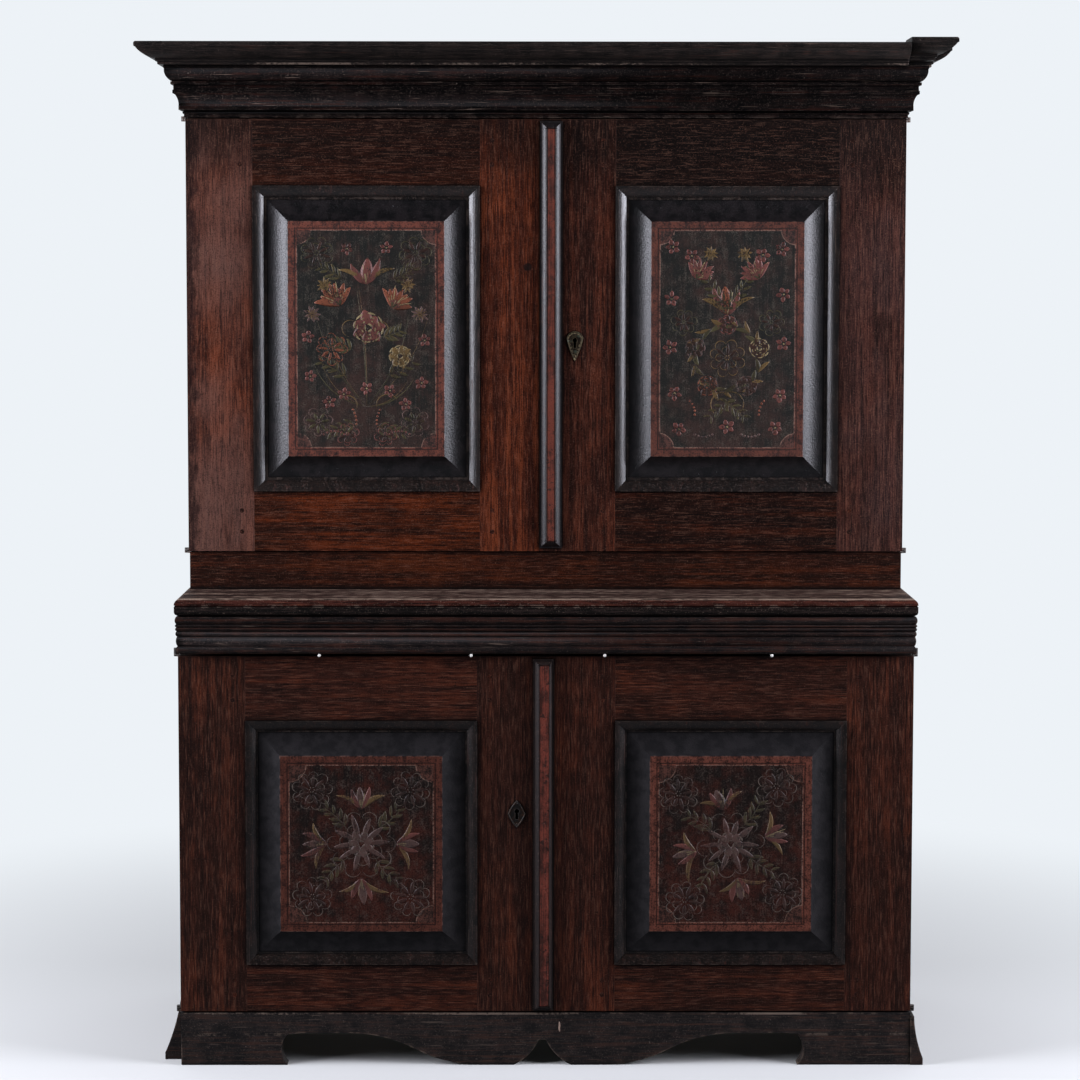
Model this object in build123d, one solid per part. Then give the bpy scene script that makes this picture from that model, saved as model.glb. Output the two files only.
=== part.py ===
from build123d import *
import os
from dataclasses import dataclass
from math import hypot

# Two-stage court cupboard, millimetres. X runs to the right, -Y to the front, +Z up.
# The origin lies on the floor under the middle of the case.

# ---- overall ----
overall_depth = 560.0  # front of the ledge's nosing to the back boards' rear face
lower_half_width = 644.0
upper_half_width = 640.0
board_thickness = 24.0  # sides, bottoms, tops
shelf_thickness = 20.0
back_thickness = 18.0
back_board_count = 5
back_board_gap = 0.8
housing_depth = 8.0  # how far boards are let into the sides
end_play = 0.3  # left at the ends of tongues and tenons

# ---- heights, from the floor up ----
apron_height = 94.0
lower_door_gap = 3.0  # apron to door
lower_door_height = 631.0
lower_head_gap = 11.0  # door to waist moulding
waist_quirk = 2.0
waist_lip = 5.0  # the front reeds hang this far below the waist moulding's seat
reed_heights = (13.0, 5.0, 7.0, 9.5, 17.0, 13.5)  # the waist moulding's reeds, from the top down
ledge_thickness = 29.0
plinth_height = 67.0
upper_door_gap = 2.0
upper_door_height = 770.0
upper_head_gap = 2.0
crown_height = 38.0
corner_lift = 9.0  # the loose corner of the crown moulding stands this much too high

# ---- depths ----
door_thickness = 28.0
door_play = 1.0  # door's back to the case
door_overlap = 12.0  # how far the doors lap the boards behind them
meeting_gap = 1.0
nosing_projection = 20.0  # ledge ahead of the lower doors
upper_setback = 138.0  # upper doors behind the lower ones
plinth_recess = 4.0  # plinth rail behind the upper doors
shelf_setback = 45.0
upper_shelf_count = 2

# ---- doors ----
upper_outer_stile = 118.0
upper_opening_inner = 121.0  # middle of the case to the panel opening
upper_panels_shift = 3.0  # both upper panels stand this much to the right
upper_bottom_rail = 108.0
upper_top_rail = 118.0
upper_lap = 11.0  # how far the door with the cover strip passes the middle
lower_outer_stile = 117.0
lower_opening_inner = 121.0
lower_bottom_rail = 84.0
lower_top_rail = 114.0
lower_lap = 13.0
groove_offset = 8.0  # door's face to the groove's front wall
groove_width = 9.0
groove_depth = 10.0
tenon_length = 70.0
tenon_shoulder = 16.0
peg_diameter = 8.0
peg_edge = 22.0  # joint line to the pegs

# ---- door panels and their mouldings ----
field_projection = 10.0  # raised field ahead of the frame
upper_moulding_width = 24.0
upper_cove_width = 39.0
lower_moulding_width = 20.5
lower_cove_width = 40.5
cove_sag = 4.0
moulding_lip = 4.5  # height of the ovolo's outer edge above the frame
ovolo_drop = 9.5  # fall of the ovolo over its width
ovolo_roundness = 0.085  # rise of the ovolo's arc as a share of its chord
upper_fillet_width = 5.0
lower_fillet_width = 3.0
moulding_fillet_depth = 6.5  # inner fillet behind the frame's face

# ---- cover strips ----
strip_projection = 14.5
strip_edge = 4.0
strip_fillet = 3.0
strip_fillet_step = 1.5
strip_ovolo_sag = 1.3
strip_quirk = 1.2  # groove on each side of the flat
upper_strip_width = 40.0
upper_strip_flat = 12.0
upper_strip_ends = (4.0, 6.0)  # short of the door's top and bottom
lower_strip_width = 36.0
lower_strip_flat = 15.0
lower_strip_flat_shift = -2.0  # the flat lies this much to the left of the strip's middle
lower_strip_ends = (5.0, 2.0)

# ---- locks ----
keyhole_offset = 51.5  # middle of the case to the keyhole
upper_keyhole_height = 378.0  # above the door's bottom edge
lower_keyhole_height = 357.0
keyhole_radius = 4.3
keyhole_slot_width = 5.0
keyhole_slot_length = 14.0
escutcheon_thickness = 2.0
escutcheon_sag = 1.6  # swell of the plates' curved edges
upper_escutcheon_width = 30.0
upper_escutcheon_height = 53.0
upper_escutcheon_top = 16.0  # above the keyhole's round
upper_escutcheon_shoulder = 4.0
lower_escutcheon_width = 31.0
lower_escutcheon_height = 48.0
lock_width = 100.0
lock_height = 90.0
lock_below = 34.0  # keyhole's round to the case's lower edge
lock_thickness = 17.0
lock_edge = 4.0  # lock case short of the door's meeting edge
lock_recess = 9.0  # depth of the key's recess
bolt_height = 20.0
bolt_thickness = 6.0
bolt_length = 70.0
bolt_standoff = 5.0  # door's back to the bolt
bolt_throw = 18.0
bolt_play = 0.15
bolt_short = 1.0  # the shot bolt stops this short of the strap's far edge
keeper_width = 8.0
strap_thickness = 3.0
keeper_play = 1.2
keeper_foot = 12.0

# ---- slide bolts of the doors without a lock ----
rod_diameter = 8.0
rod_length = 170.0
rod_standoff = 9.0  # door's back to the rod's axis
rod_x = 66.0  # middle of the case to the rod
rod_lift = 2.5  # tip above the bottom board when drawn
rod_throw = 14.0
rod_play = 0.06
rod_hole_play = 0.5
rod_stop_diameter = 14.0
rod_stop_height = 10.0
guide_width = 22.0
guide_height = 9.0
guide_wall = 4.0
guide_low = 14.0  # lower guide above the rod's tip
guide_spacing = 90.0

# ---- pivot hinges ----
pivot_offset = 5.5  # pivot outside the door's edge
eye_radius = 5.0
leaf_thickness = 3.5
leaf_length = 62.0
leaf_width = 13.0
leaf_neck = 9.0
pin_diameter = 5.0
pin_play = 0.05
eye_play = 0.2

# ---- waist, ledge, cornice ----
waist_side_projection = 4.0  # nosing outside the lower doors
waist_frame_depth = 48.0  # behind the plane of the lower doors
waist_taper = 3.0
reed_sag = 2.2
waist_step = 1.5  # reeds behind the nosing
waist_quirk_depth = 4.0
lip_inset = 5.0  # lip ahead of the lower doors
nosing_top_radius = 10.0
nosing_bottom_radius = 7.0
nosing_groove_drop = 13.0  # below the ledge's top
nosing_groove = (1.5, 2.2)  # depth, height
ledge_front_board = 210.0
plinth_inset = 1.5
dust_board_thickness = 22.0
crown_projection = 80.0
crown_fillet_height = 9.0
crown_ovolo_height = 18.5
crown_ovolo_width = 28.0
crown_ovolo_sag = 3.2
crown_step = 3.5  # the two small steps under the ovolo
crown_nose = 4.0  # rounding of the crown's worn top edge
crown_seam = 3.0  # seam of the loose corner, inside the case's side
bed_foot_height = 6.0
bed_foot_projection = 2.0
bed_bead_height = 4.5
bed_quirk = 2.5
bed_fillet_height = 6.5
bed_fillet_projection = 10.5
bed_cavetto_height = 22.0
bed_cavetto_projection = 17.5
bed_cavetto_sag = 2.4
bed_bands = ((6.0, 20.0), (9.5, 18.5), (5.0, 23.0), (1.5, 20.5))  # height, projection, from the cavetto up
bed_ovolo_height = 21.0
bed_ovolo_start = 23.0
bed_ovolo_projection = 33.0
bed_ovolo_sag = 3.4
bed_top_height = 6.0
bed_top_projection = 34.0

# ---- apron, feet and skirts ----
apron_middle = -6.0  # the cut-out's middle lies left of the case's
notch_half_width = 6.5
notch_height = 45.0
lobe_width = 44.5  # notch's top corner to the lobe's flat
lobe_sag = 6.0
lobe_flat = 57.0
ogee_length = 232.0
arch_height = 57.0
arch_flat = 90.0
foot_height = 55.0
foot_inner = 450.0  # the cut-out's middle to the feet
foot_scoop = 11.0
glue_block_size = 40.0
skirt_feet = (33.0, 23.0)  # left, right
skirt_tops = (4.0, 7.0)
skirt_heights = (112.0, 88.0)
skirt_leads = (-8.0, 31.0)  # skirts start this far ahead of the lower case's front
skirt_toe = 12.0
skirt_sag = 3.5

# ---- planes and levels that follow ----
front_y = -overall_depth / 2
back_y = overall_depth / 2
back_board_y = back_y - back_thickness
lower_face_y = front_y + nosing_projection
lower_case_y = lower_face_y + door_thickness + door_play
upper_face_y = lower_face_y + upper_setback
upper_case_y = upper_face_y + door_thickness + door_play

lower_door_bottom = apron_height + lower_door_gap
lower_door_top = lower_door_bottom + lower_door_height
lower_case_top = lower_door_top + lower_head_gap
waist_height = waist_quirk + sum(reed_heights) - waist_lip
ledge_bottom = lower_case_top + waist_height
ledge_top = ledge_bottom + ledge_thickness
plinth_top = ledge_top + plinth_height
upper_door_bottom = plinth_top + upper_door_gap
upper_door_top = upper_door_bottom + upper_door_height
frieze_bottom = upper_door_top + upper_head_gap
bed_height = (bed_foot_height + bed_bead_height + bed_quirk + bed_fillet_height + bed_cavetto_height
              + sum(height for height, _ in bed_bands) + bed_ovolo_height + bed_top_height)
bed_top = frieze_bottom + bed_height
crown_top = bed_top + crown_height

lower_floor = lower_door_bottom + door_overlap  # top faces of the bottom boards
upper_floor = upper_door_bottom + door_overlap
upper_ceiling = upper_door_top - door_overlap  # under faces of the top boards
lower_ceiling = lower_case_top - board_thickness
keeper_edge = bolt_throw - lock_edge - meeting_gap - keeper_width + bolt_short  # meeting edge to the strap

OUT, ACROSS, BACK_ACROSS, UP, DOWN = (0, -1, 0), (1, 0, 0), (-1, 0, 0), (0, 0, 1), (0, 0, -1)
THROUGH = 200.0  # long enough to cut through any piece


# ---- shapes ----
def block(x, y, z):
    """Box between two coordinates on each axis."""
    return Pos(x[0], y[0], z[0]) * Box(x[1] - x[0], y[1] - y[0], z[1] - z[0], align=(Align.MIN,) * 3)


def rod(x, y, z, diameter):
    """Upright cylinder on x, y between two heights."""
    upright = (Align.CENTER, Align.CENTER, Align.MIN)
    return Pos(x, y, z[0]) * Cylinder(diameter / 2, z[1] - z[0], align=upright)


def bulge(start, end, sag):
    """Arc from start to end whose middle stands sag to the left of the straight line."""
    a, b = Vector(*start), Vector(*end)
    side = (b - a).normalized().rotate(Axis.Z, 90)
    return ThreePointArc(a, (a + b) * 0.5 + side * sag, b)


def outline(*steps):
    """Closed face from points, with (point, sag) where the way to the point is an arc."""
    edges = []
    last = first = steps[0]
    for step in steps[1:]:
        arc = isinstance(step[0], tuple)
        point = step[0] if arc else step
        edges.append(bulge(last, point, step[1]) if arc else Line(last, point))
        last = point
    if last != first:
        edges.append(Line(last, first))
    return make_face(Curve() + edges)


def prism(face, origin, across, along, length):
    """Face drawn in (across, up or out), run for a length in the direction along."""
    return extrude(Plane(origin=origin, x_dir=across, z_dir=along) * face, length)


def crossed(section, x, z, face):
    """Solid that has the same section across and upright, so its edges meet in mitres."""
    across = prism(section(*x), (0, face, z[1] + THROUGH), ACROSS, DOWN, z[1] - z[0] + 2 * THROUGH)
    upright = prism(section(*z), (x[0] - THROUGH, face, 0), UP, ACROSS, x[1] - x[0] + 2 * THROUGH)
    return across & upright


def mirrored(shape, side):
    """The shape itself on the right, its mirror image on the left."""
    return shape if side > 0 else mirror(shape, about=Plane.YZ)


def keyhole(x, y, z):
    """Round hole with a slot below it, cut from y[0] to y[1]."""
    hole = Circle(keyhole_radius) + Pos(0, -keyhole_slot_length / 2) * Rectangle(
        keyhole_slot_width, keyhole_slot_length)
    return prism(hole, (x, y[1], z), ACROSS, OUT, y[1] - y[0])


# ---- frames of moulding with mitred front corners ----
def moulding_frame(profile, ref_x, ref_y, rear_y, side_profile=None):
    """Front piece and two returns; a profile is drawn as (projection, height)."""
    reach = THROUGH
    raw_front = prism(profile, (ref_x + reach, ref_y, 0), OUT, BACK_ACROSS, 2 * (ref_x + reach))
    raw_return = prism(side_profile or profile, (ref_x, rear_y, 0), ACROSS, OUT, rear_y - ref_y + reach)
    low, high = -reach, 2 * crown_top
    front_plan = Polygon((-ref_x - reach, ref_y - reach), (ref_x + reach, ref_y - reach),
                         (ref_x - reach, ref_y + reach), (reach - ref_x, ref_y + reach), align=None)
    return_plan = Polygon((ref_x + reach, ref_y - reach), (ref_x + reach, rear_y), (ref_x - reach, rear_y),
                          (ref_x - reach, ref_y + reach), align=None)
    front = raw_front & extrude(Pos(0, 0, low) * front_plan, high)
    right = raw_return & extrude(Pos(0, 0, low) * return_plan, high)
    return front, mirrored(right, -1), right


def waist_profile(lip):
    """Reeds under a quirk, one above the other, stepping back to the doors; the lip hangs ahead of them."""
    outer = nosing_projection - 2 * waist_step
    level = ledge_bottom - waist_quirk
    steps = [(-waist_frame_depth, lower_case_top), (-waist_frame_depth, ledge_bottom),
             (outer - waist_quirk_depth, ledge_bottom), (outer - waist_quirk_depth, level), (outer, level)]
    for height in reed_heights:
        level = max(level - height, lower_case_top - lip)
        drop = (ledge_bottom - waist_quirk - level) / sum(reed_heights)
        steps.append(((outer - waist_taper * drop, level), reed_sag))
    if lip:
        steps += [(lip_inset, level), (lip_inset, lower_case_top)]
    return outline(*steps)


def bed_profile():
    """Foot, bead, quirk, fillet, cavetto, bands, ovolo and top fillet."""
    z = frieze_bottom
    steps = [(0, z), (bed_foot_projection, z)]
    z += bed_foot_height
    steps.append((bed_foot_projection, z))
    z += bed_bead_height
    steps.append(((bed_foot_projection, z), -bed_bead_height / 2))
    z += bed_quirk
    steps += [(bed_foot_projection, z), (bed_fillet_projection, z)]
    z += bed_fillet_height
    steps.append((bed_fillet_projection, z))
    z += bed_cavetto_height
    steps.append(((bed_cavetto_projection, z), bed_cavetto_sag))
    for height, projection in bed_bands:
        steps.append((projection, z))
        z += height
        steps.append((projection, z))
    steps.append((bed_ovolo_start, z))
    z += bed_ovolo_height
    steps += [((bed_ovolo_projection, z), -bed_ovolo_sag), (bed_top_projection, z)]
    z += bed_top_height
    return outline(*steps, (bed_top_projection, z), (0, z))


def crown_profile(inner, lift):
    """Plank with two small steps, an ovolo and a top fillet on its edge, whose top corner is worn round."""
    top = crown_top + lift
    ovolo_top = top - crown_fillet_height
    ovolo_bottom = ovolo_top - crown_ovolo_height
    p = crown_projection - crown_step / 2
    base = p - crown_ovolo_width
    middle = (ovolo_bottom + bed_top + lift) / 2
    nose_sag = crown_nose * (1 - 0.5 ** 0.5)
    return outline((inner, bed_top + lift), (base - 2 * crown_step, bed_top + lift),
                   (base - 2 * crown_step, middle), (base - crown_step, middle),
                   (base - crown_step, ovolo_bottom), (base, ovolo_bottom),
                   ((p, ovolo_top), -crown_ovolo_sag), (crown_projection, ovolo_top),
                   (crown_projection, top - crown_nose), ((crown_projection - crown_nose, top), -nose_sag),
                   (inner, top))


def skirt_profile(foot, top, height):
    """Flared skirting, drawn from the side of the case."""
    return outline((0, 0), (foot, 0), (foot, skirt_toe), ((top, height), skirt_sag), (0, height))


def apron_outline():
    """Board with a notch between two lobes, ogee curves and flat arches down to the feet."""
    lobe_end = notch_half_width + lobe_width
    flat_end = lobe_end + lobe_flat
    ogee_middle = flat_end + ogee_length / 2
    ogee_end = flat_end + ogee_length
    slope = arch_height / ogee_length
    ogee_sag = (hypot(ogee_length, arch_height) / 4) * (hypot(1, slope) - 1) / slope
    half = []
    for side in (1, -1):
        def at(distance, z, hand=side):
            return (apron_middle + hand * distance, z)
        half.append([
            Line(at(0, notch_height), at(notch_half_width, notch_height)),
            bulge(at(notch_half_width, notch_height), at(lobe_end, 0), -side * lobe_sag),
            Line(at(lobe_end, 0), at(flat_end, 0)),
            bulge(at(flat_end, 0), at(ogee_middle, arch_height / 2), -side * ogee_sag),
            bulge(at(ogee_middle, arch_height / 2), at(ogee_end, arch_height), side * ogee_sag),
            Line(at(ogee_end, arch_height), at(ogee_end + arch_flat, arch_height)),
            Line(at(ogee_end + arch_flat, arch_height), at(foot_inner, foot_height)),
            Line(at(foot_inner, foot_height), (side * lower_half_width, foot_height)),
            Line((side * lower_half_width, foot_height), (side * lower_half_width, apron_height)),
        ])
    top = Line((-lower_half_width, apron_height), (lower_half_width, apron_height))
    return make_face(Curve() + half[0] + half[1] + [top])


def foot_outline(side):
    """Foot block whose inner end is scooped hollow."""
    inner = apron_middle + side * foot_inner
    end = side * lower_half_width
    return outline((end, 0), (inner, 0), ((inner, foot_height), -side * foot_scoop), (end, foot_height))


# ---- cases ----
def back_boards(half_width, z):
    """Upright boards side by side, nailed on the rear edges."""
    pitch = (2 * half_width + back_board_gap) / back_board_count
    edges = [-half_width + n * pitch for n in range(back_board_count)]
    return [block((x, x + pitch - back_board_gap), (back_board_y, back_y), z) for x in edges]


def housed_board(half_width, front, z, thickness):
    """Board with both ends let into the sides."""
    reach = half_width - board_thickness + housing_depth - end_play
    return block((-reach, reach), (front, back_board_y), (z, z + thickness))


def side_board(half_width, front, z, housings):
    """Right side with a housing for each board, given as (level, thickness, front)."""
    inner = half_width - board_thickness
    shape = block((inner, half_width), (front, back_board_y), z)
    for level, thickness, board_front in housings:
        shape -= block((inner - 1, inner + housing_depth), (board_front, back_board_y + 1),
                       (level, level + thickness))
    return shape


def shelf_levels(floor, ceiling, count):
    """Under faces of shelves that share the height evenly."""
    clear = (ceiling - floor - count * shelf_thickness) / (count + 1)
    return [floor + clear + n * (clear + shelf_thickness) for n in range(count)]


def rod_hole(side, case_y, floor):
    """Hole in a bottom board for a slide bolt."""
    depth = rod_throw - rod_lift + end_play + 2
    y = case_y - door_play + rod_standoff
    return rod(side * rod_x, y, (floor - depth, floor + 1), rod_diameter + 2 * rod_hole_play)


# ---- pivot hinges ----
@dataclass(frozen=True)
class Pivot:
    """One end of a door: where its two leaves meet."""
    side: int
    door_half_width: float
    case_y: float
    door_end: float  # level of the door's end
    fixed_face: float  # level of the fixed leaf's face towards the door
    up: int  # +1 at the door's top, -1 at its bottom

    @property
    def x(self):
        return self.door_half_width + pivot_offset

    @property
    def y(self):
        return self.case_y - door_play

    def strip(self, *levels):
        """Leaf with its eye between two levels."""
        z = sorted(levels)
        end, neck = self.x - leaf_length, self.x - leaf_neck
        plan = Polygon((end, self.y), (end, self.y - leaf_width), (neck, self.y - leaf_width),
                       (self.x, self.y - eye_radius), (self.x, self.y), align=None)
        return extrude(Pos(0, 0, z[0]) * plan, z[1] - z[0]) + rod(self.x, self.y, z, 2 * eye_radius)

    def door_leaf(self):
        inner = self.door_end - self.up * leaf_thickness
        bore = rod(self.x, self.y, (min(inner, self.door_end) - 1, max(inner, self.door_end) + 1),
                   pin_diameter + 2 * pin_play)
        return mirrored(self.strip(inner, self.door_end) - bore, self.side)

    def door_recess(self):
        return mirrored(self.strip(self.door_end - self.up * leaf_thickness, self.door_end), self.side)

    def fixed_recess(self):
        return mirrored(self.strip(self.fixed_face, self.fixed_face + self.up * leaf_thickness), self.side)

    def fixed_leaf(self):
        collar = sorted((self.door_end + self.up * eye_play, self.fixed_face))
        shape = self.strip(self.fixed_face, self.fixed_face + self.up * leaf_thickness)
        if collar[1] - collar[0] > 0:
            shape += rod(self.x, self.y, collar, 2 * eye_radius)
        low, high = self.pin_span()
        return mirrored(shape - rod(self.x, self.y, (low - 1, high + 1), pin_diameter), self.side)

    def pin_span(self):
        into = self.up * leaf_thickness
        return sorted((self.door_end - into, self.fixed_face + into))

    def pin(self):
        return mirrored(rod(self.x, self.y, self.pin_span(), pin_diameter), self.side)


# ---- doors ----
@dataclass(frozen=True)
class Door:
    """A framed door, laid out as a right-hand one and mirrored for the left."""
    name: str
    side: int
    face: float
    case_y: float
    bottom: float
    top: float
    outer: float
    meeting: float
    opening: tuple
    bottom_rail: float
    top_rail: float
    moulding_width: float
    fillet_width: float
    cove_width: float
    pivots: tuple
    keyhole_height: float = 0.0

    @property
    def back(self):
        return self.face + door_thickness

    @property
    def opening_z(self):
        return (self.bottom + self.bottom_rail, self.top - self.top_rail)

    @property
    def groove(self):
        return (self.face + groove_offset, self.face + groove_offset + groove_width)

    @property
    def rails(self):
        """(bottom, top) of each rail."""
        z = self.opening_z
        return ((self.bottom, z[0]), (z[1], self.top))

    def tenon_z(self, rail):
        """Level span of a rail's tenons, with shoulders above and below."""
        return (rail[0] + tenon_shoulder, rail[1] - tenon_shoulder)

    def peg_places(self):
        for edge, into in ((self.opening[0], -1), (self.opening[1], 1)):
            for rail in self.rails:
                low, high = self.tenon_z(rail)
                for part in (0.25, 0.75):
                    yield edge + into * peg_edge, low + part * (high - low)

    def pegs(self):
        disc = Circle(peg_diameter / 2)
        return [prism(disc, (x, self.back, z), ACROSS, OUT, door_thickness) for x, z in self.peg_places()]

    def groove_block(self):
        """What the panel's groove takes away all round the opening."""
        x, z = self.opening, self.opening_z
        return block((x[0] - groove_depth, x[1] + groove_depth), self.groove,
                     (z[0] - groove_depth, z[1] + groove_depth))

    def stiles(self, pegs):
        lengths = ((self.meeting, self.opening[0]), (self.opening[1], self.outer))
        shapes = []
        for span, into in zip(lengths, (-1, 1)):
            shape = block(span, (self.face, self.back), (self.bottom, self.top)) - self.groove_block()
            joint = self.opening[0] if into < 0 else self.opening[1]
            for rail in self.rails:
                deep = sorted((joint - into, joint + into * (tenon_length + end_play)))
                shape -= block(deep, self.groove, self.tenon_z(rail))
            for peg in pegs:
                shape -= peg
            shapes.append(shape)
        for pivot in self.pivots:
            shapes[1] -= mirrored(pivot.door_recess(), self.side)
        if self.keyhole_height:
            shapes[0] -= self.keyhole_cut((self.face - 1, self.back + 1))
        return shapes

    def rail_solids(self, pegs):
        shapes = []
        for rail in self.rails:
            body = block(self.opening, (self.face, self.back), rail) - self.groove_block()
            tenon_x = (self.opening[0] - tenon_length, self.opening[1] + tenon_length)
            span = self.tenon_z(rail)
            shape = body + (block(tenon_x, self.groove, span) - block(self.opening, self.groove, span))
            for peg in pegs:
                shape -= peg
            shapes.append(shape)
        return shapes

    def panel(self):
        """Fielded panel: a tongue all round, a hollow cove and the raised field."""
        tongue = groove_depth - end_play
        deep = groove_offset + groove_width

        def section(low, high):
            valley = self.moulding_width
            inner = valley + self.cove_width
            return outline((low - tongue, -deep), (low - tongue, -groove_offset),
                           (low + valley, -groove_offset), ((low + inner, field_projection), -cove_sag),
                           (high - inner, field_projection), ((high - valley, -groove_offset), -cove_sag),
                           (high + tongue, -groove_offset), (high + tongue, -deep))

        return crossed(section, self.opening, self.opening_z, self.face)

    def moulding(self):
        """Four mitred lengths round the panel: an ovolo that falls inwards to a quirk and a small fillet."""
        width = self.moulding_width
        ovolo_width = width - self.fillet_width
        sag = ovolo_roundness * hypot(ovolo_width, ovolo_drop)
        profile = outline((0, -groove_offset), (width, -groove_offset), (width, -moulding_fillet_depth),
                          (ovolo_width, -moulding_fillet_depth), (ovolo_width, moulding_lip - ovolo_drop),
                          ((0, moulding_lip), -sag))
        x, z = self.opening, self.opening_z
        wide, high = x[1] - x[0], z[1] - z[0]
        sides = ((x[0], z[0], UP, ACROSS, wide), (x[1], z[1], DOWN, BACK_ACROSS, wide),
                 (x[0], z[1], ACROSS, DOWN, high), (x[1], z[0], BACK_ACROSS, UP, high))
        pieces = []
        for px, pz, inward, along, length in sides:
            raw = prism(profile, (px, self.face, pz), inward, along, length)
            mitres = Polygon((0, 0), (length, 0), (length - width, width), (width, width), align=None)
            pieces.append(raw & prism(mitres, (px, self.face + THROUGH, pz), along, OUT, 2 * THROUGH))
        return pieces

    def cover_strip(self, width, flat, shift, ends):
        """Moulded strip with hipped ends, planted flush with the meeting edge.

        A flat runs between two quirks; an ovolo and a small fillet fall away from it on each side.
        """
        fillet_top = strip_edge + strip_fillet_step
        quirk_top = strip_projection - strip_quirk / 2
        quirk_floor = strip_projection - 2 * strip_quirk

        def side(edge, hand, bevel):
            """Corners from the outer edge up to the flat."""
            fillet, quirk, flat_edge = (edge + hand * x for x in (strip_fillet, bevel - strip_quirk, bevel))
            return [(edge, 0), (edge, strip_edge), (fillet, strip_edge), (fillet, fillet_top),
                    (quirk, quirk_top), (quirk, quirk_floor), (flat_edge, quirk_floor),
                    (flat_edge, strip_projection)]

        def section(low, high):
            middle = shift if high - low == width else 0
            rise = side(low, 1, (width - flat) / 2 + middle)
            fall = side(high, -1, (width - flat) / 2 - middle)[::-1]
            rise[4] = (rise[4], strip_ovolo_sag)
            fall[4] = (fall[4], strip_ovolo_sag)
            return outline(*rise, *fall)

        x = (self.meeting, self.meeting + width)
        z = (self.bottom + ends[1], self.top - ends[0])
        return crossed(section, x, z, self.face)

    def keyhole_cut(self, y):
        return keyhole(keyhole_offset, y, self.bottom + self.keyhole_height)

    def escutcheon(self, face):
        """Thin plate round the keyhole; the face is drawn about the keyhole's round."""
        plate = prism(face, (keyhole_offset, self.face, self.bottom + self.keyhole_height), ACROSS, OUT,
                      escutcheon_thickness)
        return plate - self.keyhole_cut((self.face - 2 * escutcheon_thickness, self.face + 1))

    def bolt_level(self):
        return self.bottom + self.keyhole_height + keyhole_radius + bolt_height

    def bolt_box(self, play, x):
        z = self.bolt_level()
        y = self.back + bolt_standoff
        return block(x, (y - play, y + bolt_thickness + play), (z - play, z + bolt_height + play))

    def lock_case(self):
        """Rim lock on the door's back, with a channel for its bolt and a recess for the key."""
        x0 = self.meeting + lock_edge
        z0 = self.bottom + self.keyhole_height - lock_below
        case = block((x0, x0 + lock_width), (self.back, self.back + lock_thickness), (z0, z0 + lock_height))
        case -= self.bolt_box(bolt_play, (x0 - 1, x0 + bolt_length + end_play))
        return case - self.keyhole_cut((self.back - 1, self.back + lock_recess))

    def lock_bolt(self):
        x0 = self.meeting + lock_edge
        return self.bolt_box(0, (x0, x0 + bolt_length))

    def keeper(self, lock_door):
        """Strap on the other door that the lock's bolt shoots into."""
        z0 = lock_door.bolt_level() - keeper_play
        z1 = z0 + bolt_height + 2 * keeper_play
        inner = self.back + bolt_standoff + bolt_thickness + keeper_play
        x = (self.meeting + keeper_edge, self.meeting + keeper_edge + keeper_width)
        strap = block(x, (self.back, inner + strap_thickness), (z0 - strap_thickness, z1 + strap_thickness))
        strap -= block((x[0] - 1, x[1] + 1), (self.back - 1, inner), (z0, z1))
        for z in ((z0 - strap_thickness - keeper_foot, z0), (z1, z1 + strap_thickness + keeper_foot)):
            strap += block(x, (self.back, self.back + strap_thickness), z)
        return strap

    def rod_axis(self):
        return rod_x, self.back + rod_standoff

    def slide_bolt(self, floor):
        """Upright rod with a stop between its guides."""
        tip = floor + rod_lift
        stop = tip + guide_low + guide_height + rod_throw + end_play
        x, y = self.rod_axis()
        return rod(x, y, (tip, tip + rod_length), rod_diameter) + rod(x, y, (stop, stop + rod_stop_height),
                                                                    rod_stop_diameter)

    def rod_guides(self, floor):
        tip = floor + rod_lift
        x, y = self.rod_axis()
        guides = []
        rear = y + rod_diameter / 2 + rod_play + guide_wall
        for low in (tip + guide_low, tip + guide_low + guide_spacing):
            high = low + guide_height
            shape = block((x - guide_width / 2, x + guide_width / 2), (self.back, rear), (low, high))
            guides.append(shape - rod(x, y, (low - 1, high + 1), rod_diameter + 2 * rod_play))
        return guides


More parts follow.
